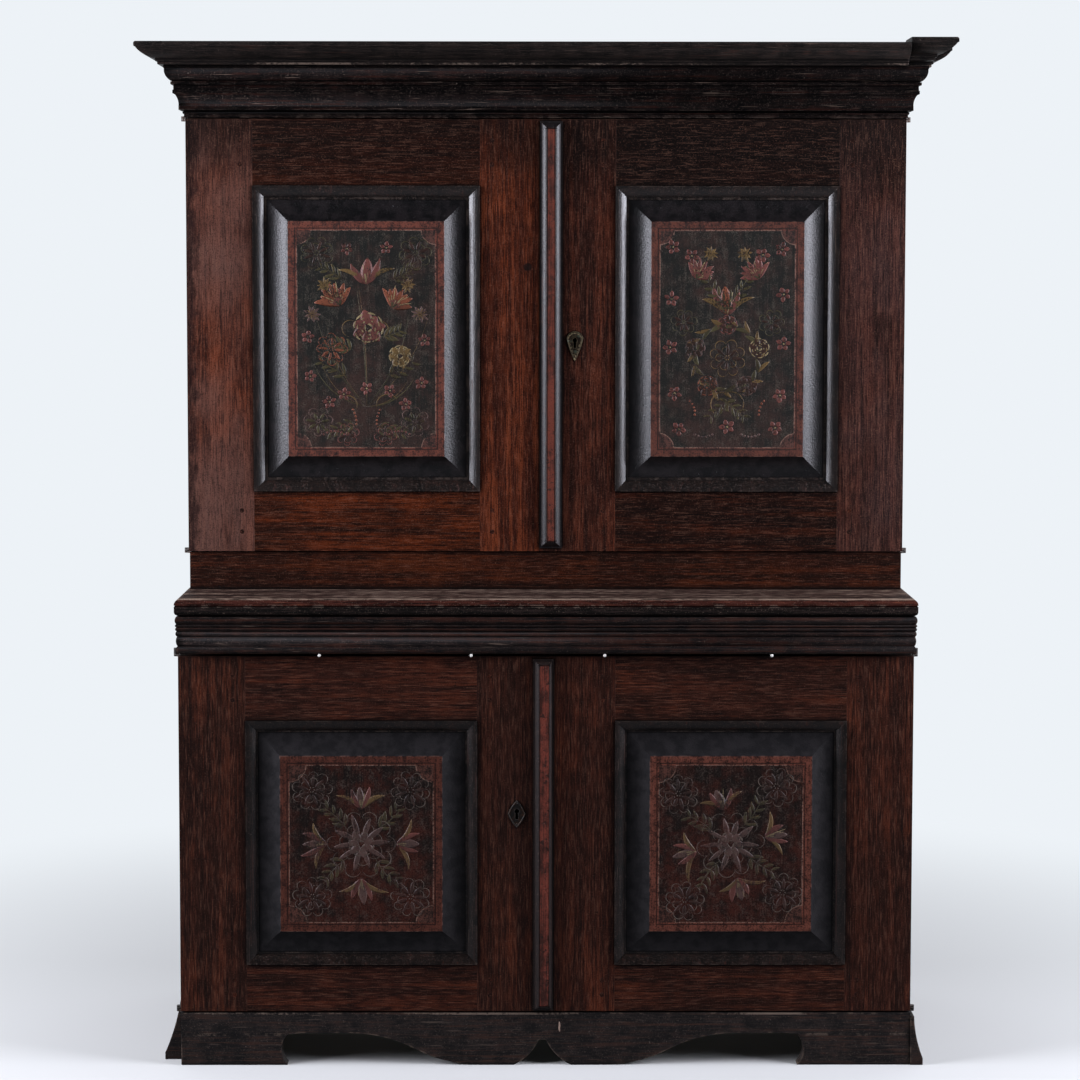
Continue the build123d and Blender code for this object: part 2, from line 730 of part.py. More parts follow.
def make_doors():
    """The four doors; the one with the lock in each pair carries the cover strip."""
    waist_leaf_face = lower_case_top - leaf_thickness  # these leaves lie under the waist moulding
    doors = []
    for side in (-1, 1):
        lock = side > 0
        doors.append(Door(
            name="upper_left_door" if side < 0 else "upper_right_door", side=side, face=upper_face_y,
            case_y=upper_case_y, bottom=upper_door_bottom, top=upper_door_top, outer=upper_half_width,
            meeting=-upper_lap if lock else upper_lap + meeting_gap,
            opening=(upper_opening_inner + side * upper_panels_shift, upper_half_width - upper_outer_stile),
            bottom_rail=upper_bottom_rail, top_rail=upper_top_rail, moulding_width=upper_moulding_width,
            fillet_width=upper_fillet_width, cove_width=upper_cove_width,
            pivots=(Pivot(side, upper_half_width, upper_case_y, upper_door_top, frieze_bottom, 1),
                    Pivot(side, upper_half_width, upper_case_y, upper_door_bottom, plinth_top, -1)),
            keyhole_height=upper_keyhole_height if lock else 0.0))
    for side in (-1, 1):
        lock = side < 0
        doors.append(Door(
            name="lower_left_door" if side < 0 else "lower_right_door", side=side, face=lower_face_y,
            case_y=lower_case_y, bottom=lower_door_bottom, top=lower_door_top, outer=lower_half_width,
            meeting=-lower_lap if lock else lower_lap + meeting_gap,
            opening=(lower_opening_inner, lower_half_width - lower_outer_stile),
            bottom_rail=lower_bottom_rail, top_rail=lower_top_rail, moulding_width=lower_moulding_width,
            fillet_width=lower_fillet_width, cove_width=lower_cove_width,
            pivots=(Pivot(side, lower_half_width, lower_case_y, lower_door_top, waist_leaf_face, 1),
                    Pivot(side, lower_half_width, lower_case_y, lower_door_bottom, apron_height, -1)),
            keyhole_height=lower_keyhole_height if lock else 0.0))
    return doors


def shield_face():
    """Round-topped shield that runs to a point."""
    half = upper_escutcheon_width / 2
    top = upper_escutcheon_top
    tip = top - upper_escutcheon_height
    shoulder = upper_escutcheon_shoulder
    return outline((0, tip), ((half, shoulder), -escutcheon_sag), ((0, top), -2 * escutcheon_sag),
                   ((-half, shoulder), -2 * escutcheon_sag), ((0, tip), -escutcheon_sag))


def pointed_oval_face():
    """Oval with a point above and below."""
    half = lower_escutcheon_width / 2
    middle = -keyhole_slot_length / 2 + keyhole_radius / 2
    top, tip = middle + lower_escutcheon_height / 2, middle - lower_escutcheon_height / 2
    return outline((0, tip), ((half, middle), -escutcheon_sag), ((0, top), -escutcheon_sag),
                   ((-half, middle), -escutcheon_sag), ((0, tip), -escutcheon_sag))


def case_nodes(doors):
    """Every fixed piece of the two cases, as node name to list of solids."""
    pivots = [pivot for door in doors for pivot in door.pivots]
    nodes = {}

    # lower case
    floor_board = lower_floor - board_thickness
    shelf_level = shelf_levels(lower_floor, lower_ceiling, 1)[0]
    shelf_y = lower_case_y + shelf_setback
    side = side_board(lower_half_width, lower_case_y, (0, lower_case_top), (
        (floor_board, board_thickness, lower_case_y), (lower_ceiling, board_thickness, lower_case_y),
        (shelf_level, shelf_thickness, shelf_y)))
    nodes["lower_sides"] = [mirrored(side, -1), side]
    bottom = housed_board(lower_half_width, lower_case_y, floor_board, board_thickness)
    nodes["lower_bottom_board"] = [bottom - rod_hole(1, lower_case_y, lower_floor)]
    nodes["lower_top_board"] = [housed_board(lower_half_width, lower_case_y, lower_ceiling, board_thickness)]
    nodes["lower_shelf"] = [housed_board(lower_half_width, shelf_y, shelf_level, shelf_thickness)]
    nodes["lower_back_boards"] = back_boards(lower_half_width, (floor_board, ledge_bottom))

    ref_x = lower_half_width + waist_side_projection - nosing_projection
    nodes["waist_moulding"] = list(moulding_frame(waist_profile(waist_lip), ref_x, lower_face_y, back_board_y,
                                                  waist_profile(0)))
    ledge_x = lower_half_width + waist_side_projection
    seam = front_y + ledge_front_board
    front_board = block((-ledge_x, ledge_x), (front_y, seam), (ledge_bottom, ledge_top))
    rear_board = block((-ledge_x, ledge_x), (seam, back_y), (ledge_bottom, ledge_top))
    for level, radius in ((ledge_top, nosing_top_radius), (ledge_bottom, nosing_bottom_radius)):
        def at_level(edge, z=level):
            return abs(edge.center().Z - z) < 0.01
        rim = front_board.edges().filter_by(at_level)
        front_board = fillet(rim.filter_by(lambda e: abs(e.center().Y - seam) > 0.01), radius)
        rim = rear_board.edges().filter_by(at_level).filter_by(Axis.Y)
        rear_board = fillet(rim, radius)
    depth, height = nosing_groove
    level = ledge_top - nosing_groove_drop
    core = block((depth - ledge_x, ledge_x - depth), (front_y + depth, back_y + 1), (level, level + height))
    groove = block((-ledge_x, ledge_x), (front_y, back_y + 1), (level, level + height)) - core
    nodes["ledge_boards"] = [front_board - groove, rear_board - groove]

    front_thickness = lower_case_y - lower_face_y
    apron = prism(apron_outline(), (0, lower_case_y, 0), ACROSS, OUT, front_thickness)
    for pivot in pivots:
        if pivot.fixed_face == apron_height:
            apron -= pivot.fixed_recess()
    nodes["apron_board"] = [apron]
    nodes["foot_blocks"] = [prism(foot_outline(hand), (0, lower_case_y, 0), ACROSS, OUT, front_thickness)
                            for hand in (-1, 1)]
    inner = lower_half_width - board_thickness
    glue_block = block((inner - glue_block_size, inner), (lower_case_y, lower_case_y + glue_block_size),
                       (0, lower_floor - board_thickness))
    nodes["foot_glue_blocks"] = [mirrored(glue_block, -1), glue_block]
    skirts = [prism(skirt_profile(foot, top, height), (lower_half_width, back_y, 0), ACROSS, OUT,
                    back_y - lower_case_y + lead)
              for foot, top, height, lead in zip(skirt_feet, skirt_tops, skirt_heights, skirt_leads)]
    nodes["side_skirts"] = [mirrored(skirts[0], -1), skirts[1]]

    # upper case
    floor_board = upper_floor - board_thickness
    levels = shelf_levels(upper_floor, upper_ceiling, upper_shelf_count)
    shelf_y = upper_case_y + shelf_setback
    side = side_board(upper_half_width, upper_case_y, (ledge_top, bed_top), (
        (floor_board, board_thickness, upper_case_y), (upper_ceiling, board_thickness, upper_case_y),
        *((level, shelf_thickness, shelf_y) for level in levels)))
    nodes["upper_sides"] = [mirrored(side, -1), side]
    bottom = housed_board(upper_half_width, upper_case_y, floor_board, board_thickness)
    nodes["upper_bottom_board"] = [bottom - rod_hole(-1, upper_case_y, upper_floor)]
    nodes["upper_top_board"] = [housed_board(upper_half_width, upper_case_y, upper_ceiling, board_thickness)]
    nodes["upper_shelves"] = [housed_board(upper_half_width, shelf_y, level, shelf_thickness)
                              for level in levels]
    nodes["upper_back_boards"] = back_boards(upper_half_width, (ledge_top, bed_top))

    plinth_x = upper_half_width - plinth_inset
    plinth_y, wide = upper_face_y + plinth_recess, (-upper_half_width, upper_half_width)
    plinth = block((-plinth_x, plinth_x), (plinth_y, upper_case_y), (ledge_top, plinth_top))
    frieze = block(wide, (upper_face_y, upper_case_y), (frieze_bottom, bed_top))
    bed = list(moulding_frame(bed_profile(), upper_half_width, upper_face_y, back_y))
    for pivot in pivots:
        if pivot.fixed_face == plinth_top:
            plinth -= pivot.fixed_recess()
        if pivot.fixed_face == frieze_bottom:
            frieze -= pivot.fixed_recess()
            bed = [piece - pivot.fixed_recess() for piece in bed]
    nodes["plinth_rail"] = [plinth]
    nodes["frieze_rail"] = [frieze]
    nodes["dust_board"] = [block(wide, (upper_face_y, back_y), (bed_top, bed_top + dust_board_thickness))]
    nodes["cornice_bed_moulding"] = bed
    nodes["cornice_crown_moulding"] = crown_pieces()

    nodes["hinge_plates"] = [pivot.fixed_leaf() for pivot in pivots]
    nodes["hinge_pins"] = [pivot.pin() for pivot in pivots]
    return nodes


def crown_pieces():
    """Front, two returns and the loose right corner, which stands a little high."""
    seam_x = upper_half_width - crown_seam
    front, left, right = moulding_frame(crown_profile(0, 0), upper_half_width, upper_face_y, back_y)
    past_seam = block((seam_x, seam_x + THROUGH), (upper_face_y - THROUGH, upper_face_y), (0, 2 * bed_top))
    level = crown_profile(0, corner_lift)
    wide = crown_profile(-crown_seam, corner_lift)
    reach = 2 * crown_projection
    across = prism(level, (seam_x + reach, upper_face_y, 0), OUT, BACK_ACROSS, reach)
    along = prism(wide, (upper_half_width, upper_face_y, 0), ACROSS, OUT, reach)
    return [front - past_seam, left, right - past_seam, across & along]


def door_nodes(doors):
    """Every piece of the four doors, as node name to list of solids."""
    upper_left, upper_right, lower_left, lower_right = doors
    nodes = {}
    for door in doors:
        pegs = door.pegs()
        pieces = {"stiles": door.stiles(pegs), "rails": door.rail_solids(pegs), "panel": [door.panel()],
                  "panel_moulding": door.moulding(), "pegs": pegs}
        for lock_door, plate, width, flat, shift, ends in (
                (upper_right, shield_face, upper_strip_width, upper_strip_flat, 0, upper_strip_ends),
                (lower_left, pointed_oval_face, lower_strip_width, lower_strip_flat, lower_strip_flat_shift,
                 lower_strip_ends)):
            if door is lock_door:
                pieces["cover_strip"] = [door.cover_strip(width, flat, shift, ends)]
                pieces["escutcheon"] = [door.escutcheon(plate())]
                pieces["lock_case"] = [door.lock_case()]
                pieces["lock_bolt"] = [door.lock_bolt()]
        for plain_door, lock_door, floor in ((upper_left, upper_right, upper_floor),
                                             (lower_right, lower_left, lower_floor)):
            if door is plain_door:
                pieces["staples"] = [door.keeper(lock_door)] + door.rod_guides(floor)
                pieces["slide_bolt"] = [door.slide_bolt(floor)]
        for piece, solids in pieces.items():
            nodes[f"{door.name}_{piece}"] = [mirrored(solid, door.side) for solid in solids]
        nodes[f"{door.name}_hinge_leaves"] = [pivot.door_leaf() for pivot in door.pivots]
    return nodes


def write_nodes():
    """One STEP file per node."""
    os.makedirs("parts", exist_ok=True)
    doors = make_doors()
    nodes = case_nodes(doors) | door_nodes(doors)
    for name, shapes in nodes.items():
        solids = [solid for shape in shapes for solid in shape.solids()]
        export_step(solids[0] if len(solids) == 1 else Compound(solids), f"parts/{name}.step")
    print(len(nodes), "nodes")


write_nodes()
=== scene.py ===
"""Finish, painted decoration, light and camera for a two-stage painted pine court cupboard."""
import logging
import math
from dataclasses import dataclass, field
from enum import Enum

import bpy
import numpy as np
from mathutils import Matrix, Vector


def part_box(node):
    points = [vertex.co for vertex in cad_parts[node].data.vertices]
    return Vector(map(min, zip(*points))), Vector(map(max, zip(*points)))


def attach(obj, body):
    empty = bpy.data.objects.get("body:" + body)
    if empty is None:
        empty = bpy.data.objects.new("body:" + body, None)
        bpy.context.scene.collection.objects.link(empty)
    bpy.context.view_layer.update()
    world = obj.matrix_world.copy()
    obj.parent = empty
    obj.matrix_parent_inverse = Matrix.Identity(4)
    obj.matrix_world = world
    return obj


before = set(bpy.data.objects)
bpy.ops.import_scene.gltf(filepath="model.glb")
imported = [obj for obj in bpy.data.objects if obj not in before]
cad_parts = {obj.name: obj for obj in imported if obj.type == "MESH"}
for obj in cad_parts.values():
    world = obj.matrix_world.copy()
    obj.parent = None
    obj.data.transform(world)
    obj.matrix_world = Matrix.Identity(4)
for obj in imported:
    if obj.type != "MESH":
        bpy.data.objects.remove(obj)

LOG = logging.getLogger("cupboard")
MM = 0.001

Socket = bpy.types.NodeSocket
Value = Socket | float | tuple[float, ...] | None
Colour = Socket | str
Array = np.ndarray
Shell = tuple[Array, list[list[int]]]  # points and faces


def linear(code: str) -> tuple[float, float, float, float]:
    """Turns an sRGB hex colour such as "#3d1c14" into linear light, with an alpha of 1."""
    channels = [int(code[start:start + 2], 16) / 255 for start in (1, 3, 5)]
    return (*(c / 12.92 if c <= 0.04045 else ((c + 0.055) / 1.055) ** 2.4 for c in channels), 1.0)


class Grain(Enum):
    """The axis along which a board's fibres run."""
    ACROSS = 0
    DEEP = 1
    UPRIGHT = 2


class Tone(Enum):
    """The painter's pots of colour."""
    SALMON = "#7a442f"
    ROSE = "#6d3f38"
    CREAM = "#93835f"
    OCHRE = "#6a5432"
    OLIVE = "#454029"
    EARTH = "#35211a"
    ASH = "#63584e"
    MAUVE = "#5c4741"


# ---------------------------------------------------------------- node trees
class Graph:
    """A node tree under construction."""

    def __init__(self, tree: bpy.types.NodeTree) -> None:
        """Empties the tree of a material or of the world."""
        self.tree = tree
        tree.nodes.clear()

    def add(self, kind: str, *inputs: Value, out: int | str = 0, named: dict[str, Value] | None = None,
            **settings: object) -> Socket:
        """Adds one node with its settings and links.

        Args:
            kind: node type without its "ShaderNode" beginning.
            inputs: values or sockets for the node's open inputs, in order; None leaves one as it is.
            out: which open output to give back, by number or by name.
            named: values or sockets for inputs given by name.
            settings: properties that are set before the inputs.

        Returns:
            The chosen output.
        """
        node = self.tree.nodes.new("ShaderNode" + kind)
        for name, setting in settings.items():
            setattr(node, name, setting)
        filled = list(zip([s for s in node.inputs if s.enabled], inputs))
        filled += [(node.inputs[name], value) for name, value in (named or {}).items()]
        for socket, value in filled:
            if isinstance(value, bpy.types.NodeSocket):
                self.tree.links.new(value, socket)
            elif value is not None:
                socket.default_value = value
        if not node.outputs:
            return node.inputs[0]
        return node.outputs[out] if isinstance(out, str) else [s for s in node.outputs if s.enabled][out]


class Surface(Graph):
    """The node tree of a material: patterns of real sizes, masks from 0 to 1, and coats laid by them."""

    def __init__(self, name: str, seed: float = 0.0, grain: Grain = Grain.UPRIGHT,
                 deepen: float = 1.0) -> None:
        """Makes the material and reads Object coordinates.

        Args:
            name: the material's name.
            seed: shift that all its patterns share.
            grain: axis of the fibres.
            deepen: how many times coarser patterns are on Y, for a top that is mostly seen at a flat angle.
        """
        self.seed, self.grain, self.deepen = seed, grain, deepen
        self.material = bpy.data.materials.new(name)
        self.material.use_nodes = True
        super().__init__(self.material.node_tree)
        self.place = self.add("TexCoord", out="Object")
        self.x, self.y, self.z = self.add("SeparateXYZ", self.place).node.outputs

    def cells(self, shift: float, width_mm: float, length_mm: float) -> Socket:
        """Object coordinates divided so that one unit of noise is a cell drawn out along the fibres.

        Args:
            shift: what sets the pattern apart from the material's others.
            width_mm: cell size across the fibres.
            length_mm: cell size along them.

        Returns:
            The divided coordinates.
        """
        seed = self.seed + shift
        size = [length_mm if axis == self.grain.value else width_mm for axis in range(3)]
        return self.add("Mapping", self.place, (seed, seed * 1.7, seed * 2.3), (0.0, 0.0, 0.0),
                        tuple(1.0 / (MM * s * c) for s, c in zip(size, (1.0, self.deepen, 1.0))))

    def streaks(self, shift: float, width_mm: float, length_mm: float, detail: float = 3.0) -> Socket:
        """Noise round 0.5 in such cells, with so many octaves of detail."""
        return self.add("TexNoise", self.cells(shift, width_mm, length_mm), 1.0, detail, 0.55)

    def clouds(self, shift: float, size_mm: float, detail: float = 3.0) -> Socket:
        """Noise round 0.5 in cells of one size in every direction."""
        return self.streaks(shift, size_mm, size_mm, detail)

    def total(self, *terms: tuple[Socket, float], base: Value = None) -> Socket:
        """Weighted sum: pairs of a pattern and its weight, on top of a base if there is one."""
        for socket, weight in terms:
            if base is None:
                base = self.add("Math", socket, weight, operation="MULTIPLY")
            else:
                base = self.add("Math", socket, weight, base, operation="MULTIPLY_ADD")
        return base

    def both(self, first: Value, second: Value) -> Socket:
        """Where two masks hold: their product."""
        return self.add("Math", first, second, operation="MULTIPLY")

    def away(self, axis: Socket, centre: float | None = None) -> Socket:
        """How far a coordinate or distance is from nought, or from a centre on its axis."""
        off = axis if centre is None else self.add("Math", axis, centre, operation="SUBTRACT")
        return self.add("Math", off, operation="ABSOLUTE")

    def step(self, value: Socket, low: float, high: float, top: float = 1.0) -> Socket:
        """Smooth rise from 0 at low to top at high; low may be the larger one.

        Args:
            value: pattern to read.
            low: where the rise starts.
            high: where it ends.
            top: value after the rise.

        Returns:
            Value from 0 to top.
        """
        ends = (low, high, 0.0, top) if low < high else (high, low, top, 0.0)
        return self.add("MapRange", value, *ends, interpolation_type="SMOOTHSTEP")

    def corner_dirt_and_shade(self, reach_mm: float, low: float = 0.55, high: float = 0.95) -> Socket:
        """Mask of inner corners from ambient occlusion, for dirt that gathers there and for painted shade.

        Args:
            reach_mm: how far from the corner it reaches.
            low: open share of the sky that still counts as a corner.
            high: open share that counts as free.

        Returns:
            1 in the corner, 0 in the open.
        """
        sky = self.add("AmbientOcclusion", None, reach_mm * MM, out="AO", samples=6)
        return self.step(sky, high, low)

    def arris(self, reach_mm: float) -> Socket:
        """Mask of outer edges, where finish rubs off: 1 on the edge, 0 beyond the reach on flat faces."""
        wood = self.add("AmbientOcclusion", None, reach_mm * MM, out="AO", samples=6, inside=True,
                        only_local=True)
        return self.step(wood, 0.9, 0.55)

    def coats(self, colour: Colour, *coats: tuple[Value, Colour]) -> Socket:
        """Lays coats over a colour.

        Args:
            colour: what lies below, as a socket or an sRGB hex colour.
            coats: each one's share, 0 to 1, and its colour.

        Returns:
            The colour that shows.
        """
        for share, coat in coats:
            below, above = (linear(c) if isinstance(c, str) else c for c in (colour, coat))
            colour = self.add("Mix", share, below, above, data_type="RGBA")
        return colour

    def close(self, colour: Socket, rough: Value, height: Socket, relief_mm: float, gloss: float = 0.5,
              metal: float = 0.0) -> bpy.types.Material:
        """Ends the tree with a principled surface.

        Args:
            colour: its base colour.
            rough: its roughness.
            height: pattern raised as bump.
            relief_mm: height that a value of 1 stands for.
            gloss: its specular level.
            metal: how metallic it is.

        Returns:
            The material.
        """
        bump = self.add("Bump", 1.0, relief_mm * MM, named={"Height": height})
        self.add("OutputMaterial", self.add("BsdfPrincipled", out="BSDF", named={
            "Base Color": colour, "Roughness": rough, "Specular IOR Level": gloss, "Metallic": metal,
            "Normal": bump}))
        return self.material


# ---------------------------------------------------------------- finishes
@dataclass(frozen=True)
class StainedPine:
    """Old pine under a worn oxblood stain and wax, planed by hand.

    The stain lies dark on the hard late wood and thin and red on the soft early wood, so the fibres show as
    dark lines, and it has gone blotchy; hands have rubbed some patches to bright red-brown. The outer stiles
    have a grey veil, partly a worn bloom and partly painted sheen of the side lamps, and can have pale ribs
    painted as highlights; soot and painted shade of the cornice lie under it, and dirt and painted shade in
    the corners. Fibres and pores under 2 mm are drawn 2 mm wide, so that they show.
    """
    name: str
    grain: Grain
    seed: float
    shade: str = "#1a0b08"
    body: str = "#2f1510"
    rubbed: str = "#5c2816"
    rub: float = 0.5  # share of the board that is rubbed
    veil_and_sheen: float = 0.0  # grey veil towards the outer boards: worn bloom and painted sheen of the side lamps
    veil_and_sheen_tone: str = "#6b483c"
    bloom: float = 0.0  # painted highlight: pale ribs on the outer boards, where the side lamps catch the grain
    grime: float = 0.0  # dark hand dirt along the outer edge
    soot_and_shade: tuple[float, float] | None = None  # heights between which soot and painted shade under the cornice set in
    edge_wear: float = 0.3
    spots: tuple[tuple[float, float, float], ...] = ()  # old plugs and knots: X, Z and radius
    back: float | None = None  # Y of the board's unpainted back
    inner: float | None = None  # distance from the middle on X of a side's unpainted inner face

    def material(self) -> bpy.types.Material:
        """Builds the finish."""
        g = Surface(self.name, self.seed, self.grain)
        fine = g.streaks(0.0, 2.0, 26.0, 2.0)
        fibres = g.streaks(3.0, 2.8, 210.0)
        broad = g.streaks(7.0, 18.0, 420.0, 4.0)
        mottle = g.clouds(9.0, 30.0, 6.0)
        patches = g.clouds(11.0, 130.0, 4.0)
        grit = g.clouds(13.0, 2.1, 2.0)
        tone = g.step(g.total((fine, 0.22), (fibres, 0.33), (broad, 0.27), (mottle, 0.18)), 0.38, 0.60)
        worn = g.total((fine, 0.14), (fibres, 0.24), (broad, 0.28), (mottle, 0.1), (patches, 0.24))
        from_middle = g.away(g.x)
        # the outer boards lie nearer the side lamps; the grey haze over them is worn bloom and painted sheen
        outer = g.step(from_middle, 0.3, 0.62)
        haze = g.step(g.total((worn, 0.4), (g.clouds(15.0, 190.0), 0.6)), 0.32, 0.60, self.veil_and_sheen)
        colour = g.coats(self.shade, (tone, self.body),
                         (g.step(worn, 0.54 - 0.13 * self.rub, 0.68 - 0.1 * self.rub, 0.75), self.rubbed),
                         (g.both(haze, outer), self.veil_and_sheen_tone))
        # painted highlight: pale ribs on the outer boards, lit by the side lamps
        if self.bloom:
            colour = g.coats(colour, (g.both(g.step(fibres, 0.5, 0.62, self.bloom), outer), "#75554b"))
        colour = g.coats(colour, (g.step(g.streaks(23.0, 34.0, 170.0, 5.0), 0.52, 0.70, 0.5), self.shade))
        if self.grime:
            ragged = g.total((mottle, 0.06), base=from_middle)
            colour = g.coats(colour, (g.step(ragged, 0.645, 0.664, self.grime), "#1b0f10"))
        # soot and painted shade of the cornice: darker above a ragged height
        if self.soot_and_shade:
            low, high = self.soot_and_shade
            ragged = g.total((g.total((patches, 0.5), (broad, 0.5)), 0.35), base=g.z)
            colour = g.coats(colour, (g.step(ragged, low + 0.17, high + 0.17, 0.8), "#0c0706"))
        colour = g.coats(colour, (g.step(fine, 0.46, 0.36, 0.42), "#0b0504"),
                         (g.step(fine, 0.56, 0.66, 0.16), "#8a6350"),
                         (g.step(grit, 0.46, 0.32, 0.6), "#0b0504"),
                         (g.step(grit, 0.58, 0.72, 0.26), "#8a6350"))
        for x, z, radius in self.spots:
            off = g.add("VectorMath", g.add("CombineXYZ", g.x, 0.0, g.z), (x, 0.0, z), operation="DISTANCE",
                        out="Value")
            off = g.total((mottle, 5 * MM), base=off)
            colour = g.coats(colour, (g.step(off, radius + 4 * MM, radius, 0.85), "#14100f"))
        holes = g.step(g.clouds(19.0, 3.4, 1.0), 0.27, 0.23, 0.85)
        # the corner coat is dirt and painted shade in inner corners, from ambient occlusion
        colour = g.coats(colour, (g.step(g.clouds(17.0, 3.0, 1.0), 0.755, 0.80, 0.5), "#8a6a58"),
                         (holes, "#040302"), (g.corner_dirt_and_shade(14.0), "#070403"),
                         (g.both(g.arris(1.2), g.step(patches, 0.42, 0.6, self.edge_wear)), "#6a483a"))
        bare = g.step(g.total((fine, 0.3), (fibres, 0.4), (broad, 0.3)), 0.40, 0.60)
        plain = g.coats("#3d291b", (bare, "#6b4c33"), (g.step(mottle, 0.50, 0.68, 0.5), "#33231a"))
        if self.back is not None:
            colour = g.coats(colour, (g.step(g.y, self.back - 1.2 * MM, self.back - 0.4 * MM), plain))
        if self.inner is not None:
            inside = g.step(from_middle, self.inner + 1.2 * MM, self.inner + 0.4 * MM)
            colour = g.coats(colour, (inside, plain))
        height = g.total((fine, 0.9), (fibres, 0.7), (broad, 0.5), (grit, 0.7), (holes, -1.0))
        return g.close(colour, g.total((fine, 0.3), base=0.34), height, 0.26, gloss=0.12)


@dataclass(frozen=True)
class WornLedge:
    """Stained pine top that dishes and jugs have rubbed to grey-brown, with a pale front edge.

    The nosing keeps its red stain above the scratched line and black paint below it. The top is seen at a
    flat angle, so its streaks are drawn three times coarser from front to back.
    """
    name: str
    seed: float
    line: float  # height of the scratched line
    brim: float  # where the top turns down, on Y
    top: float  # height of the top

    def material(self) -> bpy.types.Material:
        """Builds the finish."""
        g = Surface(self.name, self.seed, Grain.ACROSS, deepen=3.0)
        fine = g.streaks(0.0, 2.0, 22.0, 2.0)
        fibres = g.streaks(3.0, 3.0, 110.0)
        broad = g.streaks(7.0, 8.0, 420.0)
        grit = g.clouds(13.0, 2.1, 2.0)
        worn = g.total((fine, 0.42), (fibres, 0.33), (broad, 0.25))
        on_top = g.step(g.z, self.top - 2.5 * MM, self.top - 0.5 * MM)
        brim = g.both(g.step(g.y, self.brim + 9 * MM, self.brim + 2 * MM), on_top)
        top = g.coats("#1a110e", (g.step(worn, 0.42, 0.52), "#42302a"),
                      (g.step(worn, 0.51, 0.60, 0.8), "#8a7768"),
                      (g.both(brim, g.step(worn, 0.40, 0.52, 0.8)), "#94806f"))
        red = g.coats("#1f0f0c", (g.step(worn, 0.42, 0.58), "#46241c"),
                      (g.step(worn, 0.58, 0.66, 0.7), "#6d3f2e"))
        black = g.coats("#12100f", (g.step(worn, 0.46, 0.62), "#2e2522"))
        face = g.coats(black, (g.step(g.z, self.line - 1 * MM, self.line + 1 * MM), red))
        chips = g.both(g.arris(3.0), g.step(g.clouds(17.0, 24.0, 6.0), 0.52, 0.60, 0.6))
        # the corner coat is dirt and painted shade in inner corners, from ambient occlusion
        colour = g.coats(face, (on_top, top), (g.step(grit, 0.44, 0.30, 0.7), "#0d0705"),
                         (g.step(grit, 0.60, 0.76, 0.4), "#a08c7c"), (g.corner_dirt_and_shade(9.0), "#0a0605"),
                         (chips, "#8c7a6c"))
        height = g.total((fine, 0.8), (fibres, 0.8), (broad, 0.6), (grit, 0.5))
        return g.close(colour, 0.7, height, 0.3, gloss=0.04)


@dataclass(frozen=True)
class BlackPaint:
    """Lamp-black distemper over a red ground, varnished and worn.

    The film is brushed on and pitted by the pores below it, so side light breaks up into a leathery bluish
    sheen; where it has gone the red-brown ground shows in dull streaks, and bare grey wood on chipped edges.
    """
    name: str
    grain: Grain
    seed: float
    film: str = "#0d0b0a"
    thin: str = "#221814"
    ground: str = "#3a1d14"
    bare: str = "#3f352f"
    loss: float = 0.35  # share of the film that has worn through to the ground
    edge_reach_mm: float = 2.2
    roughness: float = 0.36
    gloss: float = 0.22
    groove_dirt_and_shade_mm: float = 9.0  # reach of the dirt and painted shade in hollows
    groove_dirt_and_shade_open: tuple[float, float] = (0.55, 0.95)  # open share of the sky in a hollow and on a free face
    worn_line: tuple[float, float] | None = None  # heights of an edge rubbed to pale wood in stretches

    def material(self) -> bpy.types.Material:
        """Builds the finish."""
        g = Surface(self.name, self.seed, self.grain)
        brushed = g.streaks(0.0, 2.2, 40.0, 2.0)
        long = g.streaks(3.0, 8.0, 240.0)
        patches = g.clouds(5.0, 26.0, 6.0)
        pores = g.clouds(9.0, 2.1, 2.0)
        lines = g.streaks(27.0, 3.0, 300.0)
        gone = g.step(g.total((brushed, 0.2), (lines, 0.3), (long, 0.3), (patches, 0.2)),
                      0.575 - 0.14 * self.loss, 0.65 - 0.1 * self.loss, 0.75)
        flaked = g.step(g.total((g.clouds(13.0, 9.0, 4.0), 0.5), (patches, 0.5)), 0.49, 0.57)
        film = g.step(g.total((brushed, 0.4), (patches, 0.35), (pores, 0.25)), 0.40, 0.60)
        colour = g.coats(self.film, (film, self.thin), (gone, self.ground),
                         (g.both(g.arris(self.edge_reach_mm), flaked), self.bare))
        if self.worn_line:
            low, high = self.worn_line
            band = g.both(g.step(g.z, low - 1 * MM, low), g.step(g.z, high + 1 * MM, high))
            stretches = g.total((g.streaks(21.0, 90.0, 260.0, 4.0), 0.7), (g.clouds(23.0, 5.0), 0.3))
            colour = g.coats(colour, (g.both(band, g.step(stretches, 0.50, 0.57, 0.8)), "#7c6c60"))
        # the last coat is dirt and painted shade in hollows and grooves, from ambient occlusion
        colour = g.coats(colour, (g.step(pores, 0.60, 0.70, 0.4), "#5d5049"),
                         (g.step(g.streaks(25.0, 2.0, 60.0, 1.0), 0.70, 0.76, 0.5), "#6b5b50"),
                         (g.step(g.clouds(19.0, 2.8, 1.0), 0.715, 0.78, 0.45), "#7b6d63"),
                         (g.corner_dirt_and_shade(self.groove_dirt_and_shade_mm, *self.groove_dirt_and_shade_open), "#040303"))
        rough = g.total((gone, 0.25), (g.step(pores, 0.5, 0.7), 0.22), base=self.roughness)
        height = g.total((pores, 1.0), (brushed, 1.0), (long, 0.6), (gone, -0.4))
        return g.close(colour, rough, height, 0.2, self.gloss)


